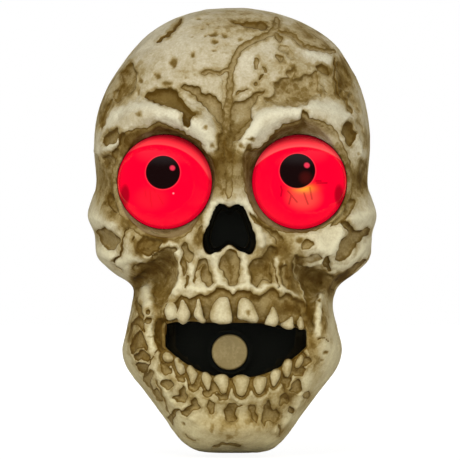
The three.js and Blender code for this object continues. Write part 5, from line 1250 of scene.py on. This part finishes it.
# pupil by place and size, warm place with warmth and heat, pale band (a painted reflection) by circle and
# amount, dots and veins
eyeMarks = {
    "left": {
        "x": -36.0, "pupil": (-0.7, 5.2, 9.1), "hot": (-7.0, -9.0, 0.12, 0.0),
        "band": (-4.0, -10.5, 30.0, 0.08), "vein": 0.35,
        # the second dot on the left eye is a painted highlight
        "dots": [(4.4, 7.2, 1.4, 0.0012, (0.9, 0.04, 0.09)), (4.9, -6.3, 0.35, 0.0003, (1.0, 0.5, 0.55))],
        "veins": [[(145, 190), (146, 197)], [(150, 190), (151, 202), (152, 207)], [(153, 187), (155, 192)],
                  [(158, 195), (163, 204)]],
    },
    "right": {
        "x": 36.0, "pupil": (-1.4, 6.1, 9.5), "hot": (2.0, -8.6, 1.0, 0.9),
        "band": (1.0, -16.0, 34.3, 0.13), "vein": 0.8,
        "dots": [(3.0, 2.0, 2.6, 0.012, (0.07, 0.004, 0.003)), (3.7, 8.6, 1.5, 0.0012, (0.9, 0.04, 0.09))],
        "veins": [[(281, 186), (282, 190), (281, 196)], [(288, 191), (292, 196), (297, 202)],
                  [(291, 196), (290, 200), (289, 204)], [(304, 193), (306, 199), (308, 204)],
                  [(310, 188), (311, 194), (312, 199)], [(316, 181), (321, 181)], [(317, 183), (327, 183)]],
    },
}


# Share of a round spot on the eye, from where it lies as seen from the front
def discMask(tree, towards, across, up, size, radius, soft):
    forward = -math.sqrt(max(0, 1 - (across**2 + up**2) / radius**2))
    turn = vectorNode(tree, "DOT_PRODUCT", towards, (across / radius, forward, up / radius))
    edge = math.cos(math.asin(size / radius))
    return rangeNode(tree, turn, edge - soft, edge + soft)


def makeEyeMaterial(name, s, marks):
    material, tree, shader, place = newMaterial(name)
    middle = (marks["x"] * mm, -s["depth"] * mm, s["height"] * mm)
    towards = vectorNode(tree, "NORMALIZE", vectorNode(tree, "SUBTRACT", place, middle))
    glowAndPaintedLight = tree.nodes.new("ShaderNodeAttribute")
    glowAndPaintedLight.attribute_name = "glowAndPaintedLight"
    across, up, size = marks["pupil"]
    pupil = discMask(tree, towards, across, up, size, s["radius"], s["soft"])
    ring = discMask(tree, towards, across, up, size + s["ringWidth"], s["radius"], s["soft"])
    lit = mixColour(tree, mathNode(tree, "MULTIPLY", ring, s["ringShare"]), glowAndPaintedLight.outputs["Color"], s["ring"])
    lit = mixColour(tree, pupil, lit, s["pupil"])
    for across, up, size, soft, colour in marks["dots"]:
        lit = mixColour(tree, discMask(tree, towards, across, up, size, s["radius"], soft), lit, colour)
    # the glow is held back where it would light the socket
    path = tree.nodes.new("ShaderNodeLightPath")
    strength = mathNode(tree, "MULTIPLY_ADD", path.outputs["Is Camera Ray"], s["seen"], s["cast"])
    fill(tree, shader, Emission_Color=lit, Emission_Strength=strength)
    fill(tree, shader, Base_Color=mixColour(tree, pupil, s["skin"], s["pupilSkin"]))
    fill(tree, shader, Roughness=s["rough"], Specular_IOR_Level=s["specular"])
    return material


# Colour that the eye glows with at each point, with painted reflection and painted shade in it
def eyeGlowAndPaintedLight(x, depth, z, s, g, marks):
    dx, dz = x - marks["x"], z - s["height"]
    colour = np.empty((len(x), 4))
    colour[:] = s["red"]
    # a paler band along the top that is a painted reflection, a warm place and a hot spot low down, and
    # painted shade at the rim and in a corner
    across, up, radius, amount = marks["band"]
    climb = np.hypot(dx - across, dz - up) - radius
    band = amount * smooth(climb, *g["reflectionEdge"]) * np.exp(-np.maximum(climb, 0) / g["reflectionFade"])
    band = band * smooth(dz, *g["reflectionFrom"])
    across, up, warmth, heat = marks["hot"]
    wide, tall = g["warmSize"]
    warm = (1 - smooth(np.hypot((dx - across) / wide, (dz - up) / tall), *g["warmEdge"])) * warmth
    wide, tall = g["hotSize"]
    hot = np.exp(-(np.hypot((dx - across) / wide, (dz - up - g["hotUp"]) / tall) ** 2)) * heat
    for i in (0, 1):
        colour[:, 1 + i] += g["warmTint"][i] * warm + g["hotTint"][i] * hot + g["reflectionTint"][i] * band
    # painted shade darkens the rim of the eye
    limb = smooth(np.hypot(dx, dz) / s["radius"], *g["limb"])
    # painted shade in the lower outer corner of the eye
    across, up, wide, tall = g["corner"]
    corner = np.hypot((np.abs(dx) - across) / wide, (dz - up) / tall)
    dark = (1 - smooth(corner, *g["cornerEdge"])) * (dx * marks["x"] > 0)
    shade = (g["limbShade"] + (1 - g["limbShade"]) * limb) * (1 - g["cornerShade"] * dark)
    # painted shadow of the brow darkens the top of the eye
    shade = shade * (1 - g["browShadow"] * smooth(climb, *g["top"]))
    px, py = pixelOf(x, depth, z)
    away = np.full(len(x), 99.0)
    for vein in marks["veins"]:
        away = np.minimum(away, np.where(depth > s["depth"], lineDistance(px, py, vein, False), 99))
    shade = shade * (1 - marks["vein"] * g["veinDark"] * (1 - smooth(away, *g["veinEdge"])))
    colour[:, :3] *= shade[:, None]
    return colour


def makeEye(side, s, marks):
    outer, inner = s["steps"], s["innerSteps"]
    angles = [(s["radius"], i / outer) for i in range(outer + 1)]
    angles += [(s["radius"] - s["wall"], 1 - i / inner) for i in range(inner + 1)]
    profile = []
    for radius, share in angles:
        a = math.radians(s["wrap"] * share)
        profile.append((radius * math.sin(a), s["depth"] + radius * math.cos(a)))
    points, faces = turned(marks["x"], s["height"], profile, s["around"])
    piece = addPiece(side + "EyeShell", points, faces, makeEyeMaterial(side + "EyeRed", s, marks), 0.9)
    fixNormals(piece)
    layer = piece.data.attributes.new("glowAndPaintedLight", "FLOAT_COLOR", "POINT")
    colour = eyeGlowAndPaintedLight(*pointsOf(piece), s, glowAndPaintedLightSet, marks)
    layer.data.foreach_set("color", colour.astype(np.float32).ravel())
    settle(piece, side + "_eye", "eye_red", side + "_eyeball")


for side in ("left", "right"):
    makeEye(side, eyeSet, eyeMarks[side])
print("eyes made")

# Nose insert: a glossy black plate with a raised line that follows its edge, as margins and depths
noseSet = {
    "profile": [(-0.3, 51.0), (-0.3, 53.6), (-0.7, 54.0), (-3.1, 54.0), (-3.4, 54.9), (-3.9, 55.2),
                (-4.4, 54.9), (-4.7, 54.0), (-8.0, 54.0), (-12.0, 54.0)],
    "steps": 14,
}


def makeNose(s):
    loops = [(noseLoop(margin, s["steps"]), depth) for margin, depth in s["profile"]]
    points = [(x, -depth, z) for loop, depth in loops for x, z in loop]
    rings, count = len(loops), len(loops[0][0])
    faces = []
    for r in range(rings - 1):
        for i in range(count):
            j = (i + 1) % count
            faces.append([r * count + i, r * count + j, (r + 1) * count + j, (r + 1) * count + i])
    faces.append(list(range(count)))
    faces.append([(rings - 1) * count + i for i in range(count)])
    piece = addPiece("noseInsert", np.array(points) * mm, faces, finishes["black_gloss"], 0.9)
    fixNormals(piece)
    settle(piece, "skull", "black_gloss", "nose_insert")


makeNose(noseSet)

# Mouth panel: a curved glossy sheet with a round bezel and two posts behind
panelSet = {
    "depth": 56.0, "thick": 2.4, "radius": 100.0, "half": 45.4, "margin": 4.5, "across": 72, "up": 20,
    "screw": (42.0, -62.0), "screwHole": 1.75, "buttonHole": 2.4, "bezel": (0.3, 2.9, 52.9, 2.0),
    "bezelInner": [(0, -0.5), (0.2, -0.1), (0.6, 0)], "bezelOuter": [(-0.9, 0), (-0.3, -0.2), (0, -0.8)],
    "sharp": 0.6, "postAway": 16,
    "post": [(0, 40.2), (1.2, 40.2), (1.2, 42.9), (2.2, 42.9), (2.2, 54.2), (0, 54.2)],
}
buttonSet = {
    "x": -1.3, "z": -64.7, "radius": 9.4, "face": 60.0, "flange": (11.0, 52.6, 50.8), "stem": (3.0, 46.8),
    "edge": 1.2, "round": 1.0, "stemEdge": 0.3, "dome": 0.2, "around": 128, "colour": (0.26, 0.195, 0.075),
    "speck": (0.33, 0.255, 0.115), "rough": 0.42, "uneven": 0.2, "specks": (620.0, 3, 0.6),
    "speckEdge": (0.38, 0.62), "blotches": (210.0, 3), "blotchEdge": (0.35, 0.7), "bump": 0.1,
}


# Cuts a round hole through a piece along the depth
def cutHole(piece, x, z, radius, around=64, back=20, front=90):
    points, faces = turned(x, z, [(0, back), (radius, back), (radius, front), (0, front)], around)
    tool = addPiece("tool", points, faces, None)
    fixNormals(tool)
    cutter = piece.modifiers.new("cut", "BOOLEAN")
    cutter.object = tool
    cutter.solver = "EXACT"
    convert(piece)
    bpy.data.objects.remove(tool)


# Points and faces of the panel's sheet, front and back
def panelSheet(s):
    across, up = s["across"], s["up"]
    points, faces = [], []
    for back in (0, s["thick"]):
        for i in range(across + 1):
            x = s["half"] * (2 * i / across - 1)
            high, low = mouthEdges(np.array(x), 0.0, s["half"])
            depth = s["depth"] - s["radius"] + math.sqrt((s["radius"] - back) ** 2 - x**2)
            for j in range(up + 1):
                points.append((x, -depth, low - s["margin"] + (high - low + 2 * s["margin"]) * j / up))
    row = up + 1
    sheet = row * (across + 1)
    for i in range(across):
        for j in range(up):
            a = i * row + j
            faces.append([a, a + 1, a + row + 1, a + row])
            faces.append([sheet + a, sheet + a + row, sheet + a + row + 1, sheet + a + 1])
    rim = [i * row for i in range(across + 1)] + [across * row + j for j in range(1, up + 1)]
    rim += [i * row + up for i in range(across - 1, -1, -1)] + list(range(up - 1, 0, -1))
    for a, c in zip(rim, rim[1:] + rim[:1]):
        faces.append([a, c, sheet + c, sheet + a])
    return np.array(points) * mm, faces


def makePanel(s, b):
    piece = addPiece("mouthPanel", *panelSheet(s), finishes["black_gloss"], s["sharp"])
    fixNormals(piece)
    cutHole(piece, b["x"], b["z"], b["radius"] + s["buttonHole"])
    for side in (-1, 1):
        cutHole(piece, side * s["screw"][0], s["screw"][1], s["screwHole"], 32)
    gap, width, back, proud = s["bezel"]
    inner, outer, front = b["radius"] + gap, b["radius"] + width, s["depth"] + proud
    ring = [(inner, back)] + [(inner + out, front + up) for out, up in s["bezelInner"]]
    ring += [(outer + out, front + up) for out, up in s["bezelOuter"]] + [(outer, back), (inner, back)]
    parts = [turned(b["x"], b["z"], ring, b["around"])]
    parts += [turned(b["x"] + side * s["postAway"], b["z"], s["post"], 24) for side in (-1, 1)]
    work = bmesh.new()
    work.from_mesh(piece.data)
    for points, faces in parts:
        made = [work.verts.new(p) for p in points]
        new = [work.faces.new([made[i] for i in face]) for face in faces]
        bmesh.ops.remove_doubles(work, verts=made, dist=1e-7)
        bmesh.ops.recalc_face_normals(work, faces=[f for f in new if f.is_valid])
    work.to_mesh(piece.data)
    work.free()
    smoothShade(piece.data, s["sharp"])
    settle(piece, "skull", "black_gloss", "mouth_panel")


makePanel(panelSet, buttonSet)


# Push button: tan, softly domed, with a speckle in the plastic
def makeButtonMaterial(b):
    material, tree, shader, place = newMaterial("button_tan")
    got = placeGroup(tree, finishGroup, Vector=place, Colour=b["colour"], Rough=b["rough"],
                     Variation=b["uneven"])
    speck = rangeNode(tree, noiseNode(tree, place, *b["specks"]), *b["speckEdge"])
    blotch = rangeNode(tree, noiseNode(tree, place, *b["blotches"]), *b["blotchEdge"])
    share = mathNode(tree, "MULTIPLY", speck, blotch)
    fill(tree, shader, Base_Color=mixColour(tree, share, got["Colour"], b["speck"]), Roughness=got["Rough"])
    addBump(tree, shader, got["Height"], b["bump"])
    return material


def makeButton(b):
    flange, front, back = b["flange"]
    stem, end = b["stem"]
    radius, face, edge = b["radius"], b["face"], b["stemEdge"]
    profile = [(0, end), (stem - edge, end), (stem, end + edge), (stem, back), (flange, back)]
    profile += [(flange, front), (radius, front), (radius, face - b["edge"])]
    for i in range(1, 7):
        a = math.radians(15 * i)
        out, up = b["round"] * math.cos(a), b["round"] * math.sin(a)
        profile.append((radius - b["round"] + out, face - b["edge"] + up))
    profile += [(radius * share, face - b["dome"] * share**2) for share in (0.8, 0.6, 0.4, 0.2)] + [(0, face)]
    points, faces = turned(b["x"], b["z"], profile, b["around"])
    piece = addPiece("pushButton", points, faces, makeButtonMaterial(b), 0.6)
    fixNormals(piece)
    settle(piece, "push_button", "button_tan", "push_button")


makeButton(buttonSet)
print("front pieces made")


# Geometry node trees: a set of screws on points, and a wound spring
def newShapeTree(name, sizes):
    inputs = [("Geometry", "Geometry", None)] + [(label, "Float", value) for label, value in sizes.items()]
    inputs += [("Material", "Material", None)]
    tree, given, out, names = newTree(name, "GeometryNodeTree", inputs, [("Geometry", "Geometry")])
    tree.is_modifier = True
    return tree, given, out, names


# Sets a turned shape on every given point and paints it
def growOnPoints(tree, given, out, shape, turn):
    aimed = addNode(tree, "GeometryNodeTransform", Geometry=shape, Rotation=turn)
    copies = addNode(tree, "GeometryNodeInstanceOnPoints", Points=given["Geometry"])
    fill(tree, copies, Instance=aimed.outputs["Geometry"])
    real = addNode(tree, "GeometryNodeRealizeInstances", Geometry=copies.outputs["Instances"])
    painted = addNode(tree, "GeometryNodeSetMaterial", Geometry=real.outputs["Geometry"])
    fill(tree, painted, Material=given["Material"])
    fill(tree, out, Geometry=painted.outputs["Geometry"])


def vectorOf(tree, **values):
    return addNode(tree, "ShaderNodeCombineXYZ", **values).outputs["Vector"]


# A screw's shape, as shares of its head's radius or height or of its shank's radius
screwShape = {"headTaper": 0.82, "slotWide": 0.22, "slotLong": 1.15, "slotDeep": 1.2, "shankTaper": 0.72}


def makeScrewTree(s):
    sizes = {"Head Radius": 0.0027, "Head Height": 0.0014, "Shank Radius": 0.0014, "Shank Length": 0.009}
    tree, given, out, names = newShapeTree("screwSet", {**sizes, "Tilt": math.pi / 2})
    headRadius, height, shankRadius = given["Head Radius"], given["Head Height"], given["Shank Radius"]

    def times(value, share):
        return mathNode(tree, "MULTIPLY", value, share)

    def lowered(mesh):
        place = vectorOf(tree, Z=times(height, -1.0))
        return addNode(tree, "GeometryNodeTransform", Geometry=mesh, Translation=place).outputs["Geometry"]

    head = addNode(tree, "GeometryNodeMeshCone", Vertices=40, Depth=height, Radius_Top=headRadius)
    fill(tree, head, Radius_Bottom=times(headRadius, s["headTaper"]))
    slots = tree.nodes.new("GeometryNodeJoinGeometry")
    for wide, long in ((s["slotWide"], s["slotLong"]), (s["slotLong"], s["slotWide"])):
        deep = times(height, s["slotDeep"])
        size = vectorOf(tree, X=times(headRadius, wide), Y=times(headRadius, long), Z=deep)
        bar = addNode(tree, "GeometryNodeMeshCube", Size=size)
        fill(tree, slots, Geometry=lowered(bar.outputs["Mesh"]))
    cut = tree.nodes.new("GeometryNodeMeshBoolean")
    cut.operation = "DIFFERENCE"
    cut.solver = "EXACT"
    fill(tree, cut, Mesh_1=lowered(head.outputs["Mesh"]), Mesh_2=slots.outputs["Geometry"])
    shank = addNode(tree, "GeometryNodeMeshCone", Vertices=24, Depth=given["Shank Length"])
    fill(tree, shank, Radius_Bottom=shankRadius, Radius_Top=times(shankRadius, s["shankTaper"]))
    whole = addNode(tree, "GeometryNodeJoinGeometry", Geometry=cut.outputs["Mesh"])
    fill(tree, whole, Geometry=shank.outputs["Mesh"])
    growOnPoints(tree, given, out, whole.outputs["Geometry"], vectorOf(tree, X=given["Tilt"]))
    return tree, names


def makeSpringTree():
    sizes = {"Turns": 4.5, "Radius": 0.0065, "Wire": 0.0005, "Length": 0.0066}
    tree, given, out, names = newShapeTree("woundSpring", sizes)
    coil = addNode(tree, "GeometryNodeCurveSpiral", Resolution=40, Rotations=given["Turns"])
    fill(tree, coil, Height=given["Length"], Start_Radius=given["Radius"], End_Radius=given["Radius"])
    ring = addNode(tree, "GeometryNodeCurvePrimitiveCircle", Resolution=10, Radius=given["Wire"])
    tube = addNode(tree, "GeometryNodeCurveToMesh", Curve=coil.outputs["Curve"], Fill_Caps=1)
    fill(tree, tube, Profile_Curve=ring.outputs["Curve"])
    growOnPoints(tree, given, out, tube.outputs["Mesh"], (math.pi / 2, 0.0, 0.0))
    return tree, names


# Piece grown by a node tree from places given as x, depth and height
def grow(name, places, made, settings):
    tree, names = made
    piece = addPiece(name, np.array([(x, -depth, z) for x, depth, z in places]) * mm, [], None)
    run = piece.modifiers.new("grow", "NODES")
    run.node_group = tree
    for label, value in settings.items():
        run[names[label]] = value
    convert(piece)
    smoothShade(piece.data, 0.6)
    return piece


# Screws by set: places, what they stand for, length in millimetres, tilt
screwSets = {
    "shellScrews": {
        "places": [(-20, 1.6, 108), (20, 1.6, 108), (-66, 1.6, 4), (66, 1.6, 4), (-50, 1.6, -66),
                   (50, 1.6, -66)],
        "nodes": ["shell_screw_top_left", "shell_screw_top_right", "shell_screw_cheek_left",
                  "shell_screw_cheek_right", "shell_screw_jaw_left", "shell_screw_jaw_right"],
        "length": 9.0, "tilt": math.pi / 2,
    },
    "carrierScrews": {
        "places": [(-57, 18.05, 56), (57, 18.05, 56), (-56, 18.05, -2), (56, 18.05, -2)],
        "nodes": ["carrier_screw_upper_left", "carrier_screw_upper_right", "carrier_screw_lower_left",
                  "carrier_screw_lower_right"],
        "length": 9.0, "tilt": math.pi / 2,
    },
    "panelScrews": {
        "places": [(-42, 41.65, -62), (42, 41.65, -62)],
        "nodes": ["mouth_panel_screw_left", "mouth_panel_screw_right"],
        "length": 7.4, "tilt": math.pi / 2,
    },
    "boardScrews": {
        "places": [(20.2, 7.9, 63.2), (45.8, 7.9, 86.8)],
        "nodes": ["main_board_screw_low", "main_board_screw_high"],
        "length": 6.0, "tilt": -math.pi / 2,
    },
}
screwTree = makeScrewTree(screwShape)
for name, s in screwSets.items():
    settings = {"Shank Length": s["length"] * mm, "Tilt": s["tilt"], "Material": finishes["steel"]}
    settle(grow(name, s["places"], screwTree, settings), "skull", "steel", *s["nodes"])

springSet = {"place": (-1.3, 43.4, -64.7), "anchor": -0.04292, "keep": 0.67}
spring = grow("buttonSpring", [springSet["place"]], makeSpringTree(), {"Material": finishes["steel"]})
settle(spring, "skull", "steel", "button_spring")
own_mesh(spring)
print("screws and spring made")

# Every CAD node that still shows takes the finish of its slot
for part in frame["record"]["subparts"]:
    node = frame["nodes"][part["node"]]
    if not node.hide_render:
        node.data.materials.clear()
        node.data.materials.append(finishes[part["material_slot"]])

# Floor, light and background, in metres; a light has a place, a size and a power
stageSet = {
    "floor": -0.1215, "reach": 4.0, "grey": (0.9, 0.9, 0.9), "white": 1.2,
    "whiteFrom": (0.25, 1.1, 0.75, 1.0), "ambient": (0.262, 0.247, 0.216), "overhead": (0.55, 0.95),
    "mirror": ((0.02, 0.02, 0.02), (0.9, 0.9, 0.9)),
    "lights": {
        "key": ((-0.3, -1.6, 1.55), 0.9, 20.5),
        "leftFill": ((-1.6, -1.2, 0.05), 0.8, 12.5),
        "lowFill": ((0.0, -1.7, -0.02), 0.6, 5.0),
        "rightFill": ((1.6, -1.2, 0.35), 0.8, 8.4),
        "backFill": ((0.7, 1.8, 0.9), 1.0, 14.0),
    },
}


def makeFloor(s):
    r = s["reach"]
    corners = [(x, y, s["floor"]) for x, y in ((-r, -r), (r, -r), (r, r), (-r, r))]
    material, tree, shader, place = newMaterial("floor")
    fill(tree, shader, Base_Color=s["grey"], Roughness=0.9, Specular_IOR_Level=0.0)
    plain = addNode(tree, "ShaderNodeEmission", Strength=s["white"])
    path = tree.nodes.new("ShaderNodeLightPath")
    # far off it turns to plain white, so that no horizon shows
    share = rangeNode(tree, vectorNode(tree, "LENGTH", place), *s["whiteFrom"])
    share = mathNode(tree, "MULTIPLY", path.outputs["Is Camera Ray"], share)
    mix = tree.nodes.new("ShaderNodeMixShader")
    for socket, value in zip(mix.inputs, (share, shader.outputs[0], plain.outputs[0])):
        feed(tree, socket, value)
    fill(tree, tree.nodes["Material Output"], Surface=mix.outputs[0])
    floor = addPiece("floor", corners, [[0, 1, 2, 3]], material)
    floor.visible_glossy = False


def makeLight(name, place, size, power):
    data = bpy.data.lights.new(name, "AREA")
    data.shape = "SQUARE"
    data.size = size
    data.energy = power
    light = bpy.data.objects.new(name, data)
    light.location = place
    light.rotation_euler = (-Vector(place)).to_track_quat("-Z", "Y").to_euler()
    light.visible_glossy = False
    light.visible_camera = False
    scene.collection.objects.link(light)


# White to the camera, soft all round for diffuse light, and bright only overhead for reflections
def makeWorld(s):
    world = bpy.data.worlds.new("studio")
    world.use_nodes = True
    scene.world = world
    tree = world.node_tree
    path = tree.nodes.new("ShaderNodeLightPath")
    way = tree.nodes.new("ShaderNodeTexCoord").outputs["Generated"]
    height = addNode(tree, "ShaderNodeSeparateXYZ", Vector=way).outputs["Z"]
    mirror = mixColour(tree, rangeNode(tree, height, *s["overhead"]), *s["mirror"])
    ambient = mixColour(tree, path.outputs["Is Glossy Ray"], s["ambient"], mirror)
    seen = mixColour(tree, path.outputs["Is Camera Ray"], ambient, (1.0, 1.0, 1.0))
    fill(tree, tree.nodes["Background"], Color=seen)


makeFloor(stageSet)
for name, (place, size, power) in stageSet["lights"].items():
    makeLight(name, place, size, power)
makeWorld(stageSet)
scene.view_settings.view_transform = "Standard"

print("scene ready")
